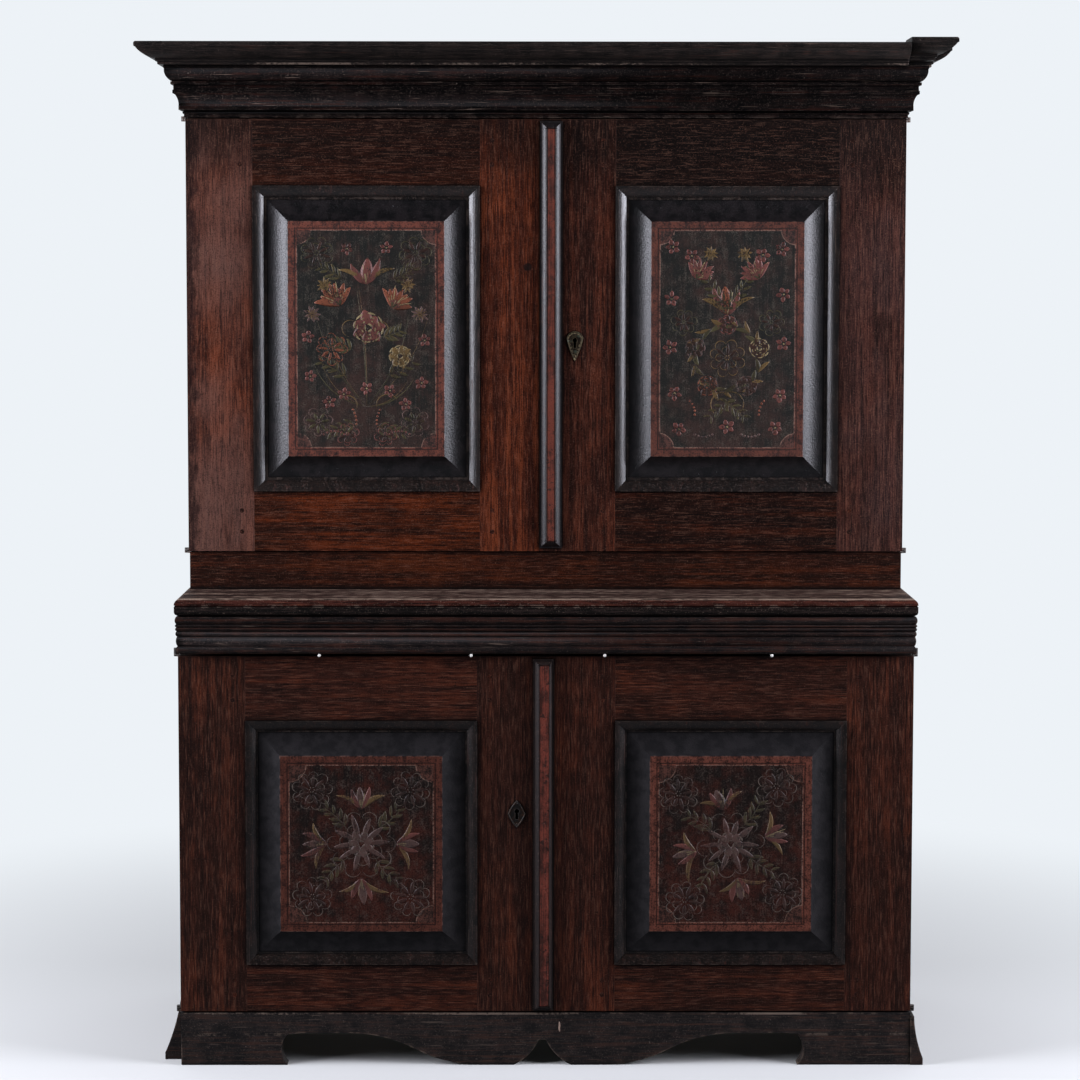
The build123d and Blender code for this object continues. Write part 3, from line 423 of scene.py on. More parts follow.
@dataclass(frozen=True)
class PictureGround:
    """The dark mottled ground that the flowers are painted on."""
    deep: str
    warm: str
    bloom: str
    seed: float
    warm_below: float  # height under which the red wood glows through more

    def colour(self, g: Surface) -> Socket:
        """Adds the ground to a tree and gives back its colour, the same on a panel and under its flowers."""
        own = self.seed - g.seed
        drawn = g.streaks(own, 3.0, 60.0)
        mottled = g.clouds(own + 3.0, 24.0, 8.0)
        boards = g.streaks(own + 5.0, 45.0, 260.0, 5.0)
        grit = g.clouds(own + 9.0, 2.1, 2.0)
        low = g.add("Math", g.z, self.warm_below, operation="SUBTRACT")
        warmth = g.total((g.step(low, 0.14, -0.12), 0.07),
                         base=g.total((drawn, 0.15), (mottled, 0.5), (boards, 0.35)))
        bloom = g.total((drawn, 0.2), (g.clouds(own + 15.0, 14.0, 6.0), 0.35), (grit, 0.45))
        return g.coats(self.deep, (g.step(warmth, 0.44, 0.66), self.warm),
                       (g.step(bloom, 0.50, 0.62, 0.5), self.bloom),
                       (g.step(grit, 0.47, 0.34, 0.75), "#080605"))


@dataclass(frozen=True)
class PaintedPanel:
    """Fielded panel: black varnished cove, brick-red border with a pale line, dark ground, bare back.

    The line runs round the picture with a hollow quarter-round at each corner, drawn by hand, so it wavers a
    little; the spandrels outside the quarter-rounds are mottled.
    """
    name: str
    node: str
    ground: PictureGround
    inset: float  # opening's edge to the raised field
    seed: float
    corner: float  # radius of the quarter-rounds
    red: str
    gloss: float
    film: tuple[str, str]  # the cove's black, deep and dusty
    tongue: float = 9.7 * MM
    border: float = 15.0 * MM
    line: float = 0.8 * MM  # half the pale line's width
    pale: str = "#86685a"
    roughness: float = 0.34

    def material(self) -> bpy.types.Material:
        """Builds the finish."""
        g = Surface(self.name, self.seed)
        low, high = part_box(self.node)
        centre = (low + high) / 2
        waver = g.total((g.clouds(0.0, 22.0), 1.8 * MM))
        # signed distances: outside the raised field, outside the picture's sides, into its hollow corners
        from_x, from_z = (g.add("Math", g.away(axis, middle), (end - start) / 2 - self.tongue - self.inset,
                                operation="SUBTRACT")
                          for axis, middle, start, end in ((g.x, centre.x, low.x, high.x),
                                                           (g.z, centre.z, low.z, high.z)))
        outside = g.add("Math", from_x, from_z, operation="MAXIMUM")
        inner_x, inner_z = (g.add("Math", off, self.border, operation="ADD") for off in (from_x, from_z))
        rim = g.add("Math", g.add("Math", inner_x, inner_z, operation="MAXIMUM"), waver, operation="ADD")
        corner = g.add("VectorMath", g.add("CombineXYZ", inner_x, inner_z), operation="LENGTH")
        hollow = g.add("Math", self.corner, corner, operation="SUBTRACT")
        hollow = g.add("Math", hollow, waver, operation="ADD")
        picture_edge = g.add("Math", rim, hollow, operation="MAXIMUM")
        drawn = g.streaks(2.0, 2.2, 40.0)
        mottled = g.clouds(4.0, 12.0, 5.0)
        crackle = g.clouds(12.0, 2.6)
        worn = g.total((drawn, 0.2), (mottled, 0.45), (crackle, 0.35))
        # border, spandrels, ground
        red = g.coats("#2f1b16", (g.step(worn, 0.38, 0.60), self.red))
        spandrel = g.coats("#241a16", (g.step(worn, 0.42, 0.60), "#58382f"))
        dark_line = g.step(g.away(g.add("Math", rim, -3.6 * MM, operation="ADD")), 1.6 * MM, 0.5 * MM, 0.8)
        field_colour = g.coats(spandrel, (g.step(rim, -0.4 * MM, 0.4 * MM), red), (dark_line, "#1c120f"))
        line = g.both(g.step(g.away(picture_edge), self.line * 1.5, self.line * 0.6),
                      g.step(worn, 0.40, 0.58, 0.85))
        # black cove, and the field's edge rubbed pale: wear with a painted highlight on its arris; dirt and
        # painted shade in the cove's inner corners
        film = g.coats(self.film[0], (g.step(g.clouds(6.0, 18.0, 7.0), 0.36, 0.64), self.film[1]))
        painted = g.step(g.y, high.y - 0.4 * MM, high.y - 1.2 * MM)
        on_cove = g.both(g.step(outside, -0.6 * MM, 0.2 * MM), painted)
        rubbed = g.both(g.step(g.away(outside), 1.3 * MM, 0.2 * MM), g.step(mottled, 0.47, 0.6, 0.45))
        front = g.coats(self.ground.colour(g), (g.step(picture_edge, -0.4 * MM, 0.4 * MM), field_colour),
                        (line, self.pale), (g.step(crackle, 0.43, 0.30, 0.7), "#0d0807"), (on_cove, film),
                        (rubbed, "#7c5c50"), (g.both(g.corner_dirt_and_shade(7.0), on_cove), "#040303"))
        grain = g.total((drawn, 0.5), (g.streaks(16.0, 18.0, 380.0), 0.5))
        plain = g.coats("#3a281c", (g.step(grain, 0.38, 0.62), "#66492f"))
        pores = g.clouds(8.0, 2.0, 2.0)
        leather = g.both(g.clouds(14.0, 3.4), on_cove)
        pinholes = g.step(g.clouds(10.0, 3.6, 1.0), 0.29, 0.24)
        rough = g.total((on_cove, self.roughness - 0.5), (g.step(pores, 0.5, 0.7), 0.2), base=0.5)
        height = g.total((pores, 1.0), (leather, 2.2), (crackle, 0.8), (drawn, 0.4), (pinholes, -1.0),
                         (line, 0.4))
        return g.close(g.coats(plain, (painted, front)), rough, height, 0.2, self.gloss)


@dataclass(frozen=True)
class FlowerPaint:
    """Tempera laid on in short strokes and half worn away, so that the ground comes through."""
    name: str
    ground: PictureGround
    seed: float
    wear: float  # 0 fresh, 1 gone
    haze: float  # share of the ground that shows through everywhere

    def material(self) -> bpy.types.Material:
        """Builds the finish; the strokes' own colours come from their "paint" attribute."""
        g = Surface(self.name, self.seed)
        paint = g.add("Attribute", out="Color", attribute_name="paint")
        rub = g.total((g.streaks(0.0, 2.0, 12.0, 2.0), 0.3), (g.clouds(2.0, 2.6), 0.4),
                      (g.clouds(5.0, 45.0), 0.3))
        gone = g.step(rub, 0.60 - 0.22 * self.wear, 0.70 - 0.18 * self.wear, 0.95)
        gone = g.add("Math", gone, self.haze, operation="MAXIMUM")
        colour = g.coats(paint, (gone, self.ground.colour(g)))
        return g.close(colour, 0.5, g.clouds(7.0, 2.0, 2.0), 0.12, gloss=0.3)


@dataclass(frozen=True)
class BarePine:
    """Unpainted pine, sawn and adzed, gone brown-grey with age and dust."""
    name: str
    grain: Grain
    seed: float
    light: str = "#8a6a48"
    dark: str = "#4e3421"
    dust: float = 0.3
    board_mm: float = 250.0  # spacing of the boards
    board_share: float = 0.0  # how far the tone changes from board to board

    def material(self) -> bpy.types.Material:
        """Builds the finish."""
        g = Surface(self.name, self.seed, self.grain)
        rings = g.streaks(0.0, 7.0, 520.0, 2.0)
        fibres = g.streaks(3.0, 1.4, 60.0)
        board = g.add("Math", g.total((g.x, 1 / (self.board_mm * MM)), base=0.5), operation="FLOOR")
        board = g.add("Math", board, self.seed, operation="ADD")
        shade = g.add("TexWhiteNoise", board, noise_dimensions="1D")
        knots = g.add("TexVoronoi", g.cells(9.0, 170.0, 420.0), 1.0, out="Distance")
        # the last coat is dirt and painted shade in inner corners, from ambient occlusion
        colour = g.coats(self.dark, (g.step(g.total((rings, 0.6), (fibres, 0.4)), 0.36, 0.62), self.light),
                         (g.step(shade, 0.0, 1.0, self.board_share), "#34241a"),
                         (g.step(g.clouds(5.0, self.board_mm, 5.0), 0.42, 0.66, 0.5), "#3a271b"),
                         (g.step(knots, 0.11, 0.05, 0.85), "#2c1a10"),
                         (g.step(g.streaks(13.0, 40.0, 160.0, 6.0), 0.45, 0.72, self.dust), "#8d8478"),
                         (g.corner_dirt_and_shade(30.0), "#1c130d"))
        height = g.total((rings, 0.7), (fibres, 0.6), (g.step(knots, 0.12, 0.05), 0.6))
        return g.close(colour, 0.78, height, 0.5, gloss=0.25)


@dataclass(frozen=True)
class ForgedIron:
    """Hammered iron under old paint, wax and rust: dark brown-black and dull, with bright rubbed edges."""
    name: str = "forged_iron"
    seed: float = 1.0

    def material(self) -> bpy.types.Material:
        """Builds the finish."""
        g = Surface(self.name, self.seed)
        rust = g.clouds(0.0, 9.0, 5.0)
        colour = g.coats("#1a1715", (g.step(rust, 0.46, 0.66), "#3d2618"), (g.arris(1.2), "#5e5852"))
        height = g.total((g.clouds(2.0, 7.0, 1.0), 1.0), (g.clouds(4.0, 1.2, 2.0), 0.2))
        return g.close(colour, g.total((rust, 0.4), base=0.32), height, 0.25, metal=0.6)


@dataclass(frozen=True)
class AgedBrass:
    """Cast brass gone nearly black, with verdigris in patches and a dull gleam on the rims."""
    name: str = "aged_brass"
    seed: float = 4.0

    def material(self) -> bpy.types.Material:
        """Builds the finish."""
        g = Surface(self.name, self.seed)
        patina = g.clouds(0.0, 6.0, 4.0)
        colour = g.coats("#2a211a", (g.step(patina, 0.42, 0.62), "#4c4331"),
                         (g.step(g.clouds(3.0, 9.0), 0.54, 0.66, 0.7), "#4a5b50"), (g.arris(0.8), "#9a8868"))
        return g.close(colour, g.total((patina, 0.35), base=0.3), patina, 0.12, metal=0.75)


@dataclass(frozen=True)
class Chalk:
    """Dry white filler in old screw holes."""
    name: str = "white_filler"

    def material(self) -> bpy.types.Material:
        """Builds the finish."""
        g = Surface(self.name)
        grit = g.clouds(2.0, 1.5, 2.0)
        return g.close(g.coats("#e4dfd6", (g.step(grit, 0.4, 0.6), "#fbf8f2")), 0.9, grit, 0.1)


# ---------------------------------------------------------------- meshes
def circle(around: int) -> Array:
    """Cosines and sines at even steps round a circle."""
    angle = 2 * np.pi * np.arange(around) / around
    return np.stack([np.cos(angle), np.sin(angle)])


def polar(radius: Array | float, heading: Array | float) -> Array:
    """Places at a radius from the middle and a heading in degrees: how far to the right and how far up."""
    way = np.radians(heading)
    return np.array([radius * np.cos(way), radius * np.sin(way)])


def skin(rings: int, around: int, closed: bool = False) -> Array:
    """Faces over rings of points: quad (i, j) joins points j and j+1 of ring i to those of ring i+1.

    Args:
        rings: number of rings, each one anticlockwise seen from the last.
        around: points in a ring.
        closed: whether the last ring is joined to the first.

    Returns:
        One row of four vertex numbers per face.
    """
    i, j = np.meshgrid(np.arange(rings if closed else rings - 1), np.arange(around), indexing="ij")
    after, beside = (i + 1) % rings, (j + 1) % around
    quads = np.stack([i * around + j, i * around + beside, after * around + beside, after * around + j], -1)
    return quads.reshape(-1, 4)


def shells(grids: Array) -> Shell:
    """Skins over several runs of rings, each closed by a face at its first and its last ring.

    Args:
        grids: points by shell, ring and place in the ring.

    Returns:
        Points and faces.
    """
    count, rings, around, _ = grids.shape
    starts = np.arange(count)[:, None] * rings * around
    quads = (skin(rings, around)[None] + starts[..., None]).reshape(-1, 4)
    first = np.arange(around)[::-1] + starts
    last = np.arange(around) + starts + (rings - 1) * around
    return grids.reshape(-1, 3), [*quads.tolist(), *first.tolist(), *last.tolist()]


def new_piece(name: str, shell: Shell, body: str,
              material: bpy.types.Material) -> bpy.types.Object:
    """Puts points and faces into a mesh that rides on a body.

    Args:
        name: the piece's name.
        shell: its points in metres and its faces, anticlockwise seen from outside.
        body: body that it rides on.
        material: its finish.

    Returns:
        The new object.
    """
    mesh = bpy.data.meshes.new(name)
    mesh.from_pydata(shell[0].tolist(), [], shell[1])
    mesh.polygons.foreach_set("use_smooth", np.full(len(mesh.polygons), True))
    mesh.materials.append(material)
    mesh.update()
    piece = bpy.data.objects.new(name, mesh)
    bpy.context.scene.collection.objects.link(piece)
    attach(piece, body)
    LOG.info("%s: %d vertices, %d faces, rides on %s", name, len(mesh.vertices), len(mesh.polygons), body)
    return piece


@dataclass
class Brush:
    """Collects brush strokes and lays them on a panel as one mesh of low closed ridges.

    A stroke starts at a point and follows its heading, which turns evenly by its bend. Its half width is the
    sine of its length's share, drawn towards the tip, and its back is a half ellipse. Places u and v are mm
    to the right of the panel's middle and above it, lengths and widths are mm, and headings are degrees
    anticlockwise from the right.
    """
    seed: int
    rows: list[Array] = field(default_factory=list)
    stations: int = 10
    around: int = 6
    height: float = 0.12 * MM  # of one stroke
    layers: float = 0.10 * MM  # rise from the first stroke to the last

    def __post_init__(self) -> None:
        """Seeds the hand's small irregularities."""
        self.hand = np.random.default_rng(self.seed)

    def stroke(self, u: Array | float, v: Array | float, heading: Array | float, length: Array | float,
               width: Array | float, tone: Tone, bend: Array | float = 0.0) -> None:
        """Adds one stroke, or several where the values are arrays.

        Args:
            u: where it starts.
            v: where it starts.
            heading: its direction at its middle.
            length: its length.
            width: its widest width.
            tone: its colour.
            bend: turn over the whole stroke, degrees.
        """
        code = list(Tone).index(tone)
        rows = np.stack(np.broadcast_arrays(*(np.atleast_1d(np.asarray(x, float))
                                              for x in (u, v, heading, length, width, bend, code))), -1)
        rows[:, 2] += self.hand.normal(0, 4, len(rows))
        rows[:, 3:5] *= self.hand.normal(1, 0.08, (len(rows), 2))
        self.rows.append(rows)

    def turns(self, count: int, within: float) -> Array:
        """Headings at even steps all round, from a random one within so many degrees."""
        return self.hand.uniform(0, within) + np.arange(count) * 360 / count

    def petals(self, u: float, v: float, ways: Array, reach: float, length: float, width: float,
               tone: Tone) -> None:
        """Strokes that start on a circle and point outwards.

        Args:
            u: the circle's middle.
            v: the circle's middle.
            ways: their headings.
            reach: the circle's radius.
            length: their length.
            width: their width.
            tone: their colour.
        """
        right, up = polar(reach, ways)
        self.stroke(u + right, v + up, ways, length, width, tone)

    def blossom(self, u: float, v: float, size: float, tone: Tone) -> None:
        """Small open flower of a given width: five round petals about a pale eye."""
        ways = self.turns(5, 360)
        self.petals(u, v, ways, 0.14 * size, 0.40 * size, 0.34 * size, tone)
        self.petals(u, v, ways, 0.26 * size, 0.17 * size, 0.12 * size, Tone.EARTH)
        self.stroke(u - 0.06 * size, v, 0.0, 0.15 * size, 0.12 * size, Tone.CREAM)

    def carnation(self, u: float, v: float, heading: float, size: float, tone: Tone) -> None:
        """Fan of long petals with pale strokes on them, over a green cup; size is the petals' length."""
        for count, spread, share, width, colour in ((7, 58, 1.0, 0.30, tone), (6, 46, 0.78, 0.22, Tone.ROSE),
                                                    (7, 50, 0.9, 0.07, Tone.CREAM)):
            fan = np.linspace(-spread, spread, count)
            self.stroke(u, v, heading + fan, size * share * (1 - 0.12 * np.abs(fan) / spread), size * width,
                        colour, bend=fan * 0.5)
        for side in (-1, 1):
            self.stroke(u, v, heading + side * 20, size * 0.4, size * 0.16, Tone.OLIVE, bend=-side * 25)

    def rose(self, u: float, v: float, size: float, tone: Tone, light: Tone) -> None:
        """Full rose of a given width: broad petals, then rings of light arcs that lie tangent to circles."""
        self.petals(u, v, self.turns(7, 50), 0.1 * size, 0.4 * size, 0.33 * size, tone)
        for radius, arcs in ((0.44, 8), (0.33, 7), (0.22, 5), (0.11, 3)):
            ways, share = self.turns(arcs, 360), 360 / arcs * 0.8
            ring = radius * size
            right, up = polar(ring, ways - share / 2)
            self.stroke(u + right, v + up, ways + 90, ring * math.radians(share), 0.065 * size, light, share)
        self.stroke(u, v, self.hand.uniform(0, 360), 0.08 * size, 0.07 * size, Tone.EARTH)

    def scallops(self, u: float, v: float, ring: float, count: int, tone: Tone, width: float) -> None:
        """Petal outlines on a circle of radius ring: arcs of 200 degrees side by side, bulging outwards."""
        ways = self.turns(count, 60)
        radius = ring * math.sin(math.pi / count)
        chord = radius * math.sin(math.radians(100))
        cos, sin = polar(1.0, ways)
        self.stroke(u + ring * cos + chord * sin, v + ring * sin - chord * cos, ways + 90,
                    radius * math.radians(200), width, tone, bend=200.0)

    def bloom(self, u: float, v: float, size: float, tone: Tone, line: Tone, petals: int) -> None:
        """Great faded flower of a given width: dull petals, two rings of outlines and a dotted heart."""
        self.petals(u, v, self.turns(petals, 60), 0.12 * size, 0.34 * size, 0.9 * size / petals, tone)
        self.scallops(u, v, 0.40 * size, petals, line, 1.7)
        self.scallops(u, v, 0.23 * size, petals - 3, line, 1.4)
        right, up = polar(0.07 * size, np.arange(6) * 60)
        self.stroke(u + right, v + up, 90.0, 2.6, 2.2, line)

    def tulip(self, u: float, v: float, heading: float, size: float, tone: Tone) -> None:
        """Tulip from the side: a pointed petal between two that curl out; size is the petals' length."""
        for side in (-1, 1):
            self.stroke(u, v, heading + side * 62, size * 1.15, size * 0.2, Tone.OCHRE, bend=side * 55)
            self.stroke(u, v, heading + side * 24, size, size * 0.27, Tone.ROSE, bend=-side * 34)
        self.stroke(u, v, heading, size * 0.96, size * 0.4, tone)
        self.stroke(u, v, heading + np.array([-9.0, 0.0, 9.0]), size * 0.8, size * 0.05, Tone.CREAM)

    def star(self, u: float, v: float, size: float, tone: Tone) -> None:
        """Aster of a given width: two rings of nine pointed petals about a dark eye."""
        ways = self.turns(9, 40)
        self.stroke(u, v, ways, 0.52 * size, 0.17 * size, tone)
        self.stroke(u, v, ways + 20, 0.36 * size, 0.09 * size, Tone.OCHRE)
        self.stroke(u - 0.07 * size, v, 0.0, 0.14 * size, 0.13 * size, Tone.EARTH)

    def leaves(self, u: float, v: float, heading: float, length: float, pairs: int, bend: float,
               leaf: float) -> None:
        """Stem with leaves in pairs along it; the stem's place at share t comes from its mean heading.

        Args:
            u: foot of the stem.
            v: foot of the stem.
            heading: its mean direction.
            length: its length.
            pairs: pairs of leaves.
            bend: turn of the stem, degrees.
            leaf: length of a leaf.
        """
        self.stroke(u, v, heading, length, 2.2, Tone.OLIVE, bend=bend)
        share = (np.arange(pairs) + 0.7) / (pairs + 0.3)
        right, up = polar(length * share, heading + bend * (share - 1) / 2)
        local = heading + bend * (share - 0.5)
        size = leaf * (1 - 0.35 * share)
        for side in (-1, 1):
            way, curl = local + side * 42, -side * 30
            self.stroke(u + right, v + up, way, size, 0.34 * size, Tone.OLIVE, curl)
            self.stroke(u + right, v + up, way, size * 0.85, 0.07 * size, Tone.OCHRE, curl)

    def berries(self, u: float, v: float, heading: float, count: int, tone: Tone, bend: float) -> None:
        """String of dabs along an arc that starts at a point, with its mean heading and its turn."""
        share = np.arange(count) / (count - 1)
        right, up = polar(5.2 * count * share, heading + bend * (share - 1) / 2)
        self.stroke(u + right, v + up, 90.0, 4.6, 4.2, tone)

    def lay(self, name: str, middle: Vector, body: str, material: bpy.types.Material) -> bpy.types.Object:
        """Builds the mesh of all strokes, later ones on top.

        Args:
            name: the piece's name.
            middle: the panel's middle on the face of its field.
            body: the door it rides on.
            material: its finish.

        Returns:
            The piece.
        """
        rows = np.concatenate(self.rows)
        count = len(rows)
        u, v, heading, length, width, bend, code = rows.T
        share = np.linspace(0, 1, self.stations)
        way = np.radians(heading[:, None] + bend[:, None] * (share - 0.5))
        run = length[:, None] / (self.stations - 1)
        line_u, line_v = (
            start[:, None] + np.cumsum(np.concatenate(
                [np.zeros((count, 1)), 0.5 * (along[:, 1:] + along[:, :-1]) * run], 1), 1)
            for start, along in ((u, np.cos(way)), (v, np.sin(way))))
        swell = np.sin(np.pi * np.clip(share, 0.015, 0.985) ** 0.85) ** 0.7
        cos, sin = circle(self.around)
        out = (0.5 * width[:, None] * swell)[..., None] * cos
        layer = self.layers * np.arange(count) / count
        rise = np.where(sin > 0, sin, -0.4) * self.height * swell[:, None]
        grids = np.stack(np.broadcast_arrays(
            middle.x + MM * (line_u[..., None] - out * np.sin(way)[..., None]),
            middle.y - rise[None] - layer[:, None, None],
            middle.z + MM * (line_v[..., None] + out * np.cos(way)[..., None])), -1)
        piece = new_piece(name, shells(grids), body, material)
        colours = np.array([linear(tone.value) for tone in Tone])[code.astype(int)]
        fade = (0.72 + 0.5 * share)[None, :, None] * self.hand.normal(1, 0.12, (count, 1, 1))
        shown = np.clip(colours[:, None, :3] * fade, 0, 1)
        shown = np.concatenate([shown, np.ones((count, self.stations, 1))], -1)
        attribute = piece.data.color_attributes.new("paint", "FLOAT_COLOR", "POINT")
        attribute.data.foreach_set("color", np.repeat(shown, self.around, 1).astype(np.float32).ravel())
        return piece


# ---------------------------------------------------------------- sub-assemblies
def dress(node: str, material: bpy.types.Material, rounded_mm: float = 0.0) -> None:
    """Gives a node of the frame its finish and rounds its edges as a plane and wear leave them.

    Args:
        node: the node's name.
        material: its finish.
        rounded_mm: width of the rounding, 0 for none.
    """
    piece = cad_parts[node]
    for place in piece.material_slots:
        place.material = material
    LOG.info("%s: %s", node, material.name)
    if not rounded_mm:
        return
    weld = piece.modifiers.new("weld", "WELD")
    weld.merge_threshold = 0.01 * MM
    flat = piece.modifiers.new("one_face_per_plane", "DECIMATE")
    flat.decimate_type = "DISSOLVE"
    flat.angle_limit = math.radians(0.3)
    bevel = piece.modifiers.new("worn_edges", "BEVEL")
    bevel.width = rounded_mm * MM
    bevel.segments = 2
    bevel.limit_method = "ANGLE"
    bevel.angle_limit = math.radians(40)
    bevel.use_clamp_overlap = True
    bevel.harden_normals = True


@dataclass
class CaseWork:
    """The two cases: sides, floors, tops, shelves, backs, rails, and the glue blocks of the feet."""
    edge_mm: float = 1.2
    board: float = 24 * MM  # thickness of a side
    back_boards: int = 5  # boards in each back

    def build(self) -> None:
        """Dresses the case's boards."""
        for node in ("lower_sides", "upper_sides"):
            # the sides darken under the cornice with soot and painted shade
            side = StainedPine(f"stained_{node}", Grain.UPRIGHT, 31.0, shade="#170a08", body="#2a1410",
                               rub=0.3, soot_and_shade=(1.5, 1.66), inner=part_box(node)[1].x - self.board)
            dress(node, side.material(), self.edge_mm)
        across = BarePine("pine_board_across", Grain.ACROSS, 41.0).material()
        for node in ("lower_bottom_board", "lower_top_board", "lower_shelf", "upper_bottom_board",
                     "upper_top_board", "upper_shelves", "dust_board"):
            dress(node, across, self.edge_mm)
        for node, seed in (("lower_back_boards", 43.0), ("upper_back_boards", 71.0),
                           ("foot_glue_blocks", 79.0)):
            low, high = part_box(node)
            upright = BarePine(f"pine_{node}", Grain.UPRIGHT, seed, dust=0.35, board_share=0.6,
                               board_mm=(high.x - low.x) / self.back_boards / MM)
            dress(node, upright.material(), self.edge_mm)
        rail = StainedPine("stained_rail", Grain.ACROSS, 47.0, shade="#170904", body="#34150b",
                           rubbed="#58270f", rub=0.5).material()
        for node in ("plinth_rail", "frieze_rail"):
            dress(node, rail, self.edge_mm)


@dataclass
class Mouldings:
    """Cornice, waist, ledge and the apron with its feet and skirts."""
    scratch_drop: float = 13 * MM  # ledge's top to the scratched line on its nosing
    nosing_radius: float = 10 * MM
    lip: float = 3.0 * MM  # height of a board's rubbed edge

    def build(self) -> None:
        """Dresses the mouldings."""
        crown_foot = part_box("cornice_bed_moulding")[1].z
        crown = BlackPaint("black_crown", Grain.ACROSS, 3.0, film="#0f0e0d", thin="#2a2320", loss=0.15,
                           roughness=0.5, gloss=0.1, worn_line=(crown_foot, crown_foot + self.lip))
        dress("cornice_crown_moulding", crown.material(), 1.6)
        bed = BlackPaint("black_bed", Grain.ACROSS, 13.0, film="#070606", thin="#15100f", ground="#26120d",
                         loss=0.5, roughness=0.5, gloss=0.03, groove_dirt_and_shade_mm=12.0, groove_dirt_and_shade_open=(0.5, 0.9))
        dress("cornice_bed_moulding", bed.material(), 1.0)
        waist = BlackPaint("black_waist", Grain.ACROSS, 23.0, film="#100e0e", thin="#241d1b",
                           ground="#341b13", bare="#4a3b34", loss=0.7, roughness=0.48, gloss=0.07,
                           groove_dirt_and_shade_open=(0.5, 0.9))
        dress("waist_moulding", waist.material(), 0.8)
        low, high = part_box("ledge_boards")
        ledge = WornLedge("worn_ledge", 53.0, high.z - self.scratch_drop, low.y + self.nosing_radius, high.z)
        dress("ledge_boards", ledge.material())
        apron_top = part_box("apron_board")[1].z
        apron = BlackPaint("black_apron", Grain.ACROSS, 33.0, film="#100e0d", thin="#2b2421",
                           ground="#3c261d", bare="#6a5b4e", loss=0.6, roughness=0.55, edge_reach_mm=4.0,
                           worn_line=(apron_top - self.lip, apron_top)).material()
        for node in ("apron_board", "foot_blocks", "side_skirts"):
            dress(node, apron, 1.0)


@dataclass
class Door:
    """A framed door with its panel, mouldings and pegs; the sizes and colours are an upper door's."""
    name: str
    seed: float
    red: str  # the panel's border
    gloss: float  # the panel's cove
    stile: dict[str, object]  # shades and wear of the stiles
    rail: dict[str, object]  # shades and wear of the rails
    ground: PictureGround = PictureGround("#14140f", "#37241d", "#565045", 61.0, 1.22)
    film: tuple[str, str] = ("#0c0b0c", "#1e1a1b")
    inset: float = 63.0 * MM
    corner: float = 25.0 * MM
    wear: float = 0.58  # of the flowers
    haze: float = 0.2  # of the flowers
    edge_mm: float = 0.7

    def build(self) -> None:
        """Dresses the door and paints its panel."""
        name, seed = self.name, self.seed
        for part, grain, shift, shades in (("stile", Grain.UPRIGHT, 0, self.stile),
                                           ("rail", Grain.ACROSS, 10, self.rail)):
            node = f"{name}_{part}s"
            stain = StainedPine(f"{name}_{part}_stain", grain, seed + shift, back=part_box(node)[1].y, **shades)
            dress(node, stain.material(), self.edge_mm)
        pegs = StainedPine(f"{name}_peg_wood", Grain.DEEP, seed + 5, body="#2a140e", edge_wear=0.0)
        dress(f"{name}_pegs", pegs.material())
        panel = PaintedPanel(f"{name}_panel_paint", f"{name}_panel", self.ground, self.inset, seed + 20,
                             self.corner, self.red, self.gloss, self.film)
        dress(f"{name}_panel", panel.material())
        ovolo = BlackPaint(f"{name}_ovolo", Grain.UPRIGHT, seed, loss=0.25, roughness=0.3,
                           gloss=self.gloss + 0.2)
        dress(f"{name}_panel_moulding", ovolo.material())
        low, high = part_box(f"{name}_panel")
        middle = Vector(((low.x + high.x) / 2, low.y, (low.z + high.z) / 2))
        flowers = FlowerPaint(f"{name}_flowers", self.ground, seed + 2, self.wear, self.haze)
        self.paint().lay(f"{name}_painting", middle, name, flowers.material())

    def paint(self) -> Brush:
        """Paints the panel's flowers."""
        raise NotImplementedError


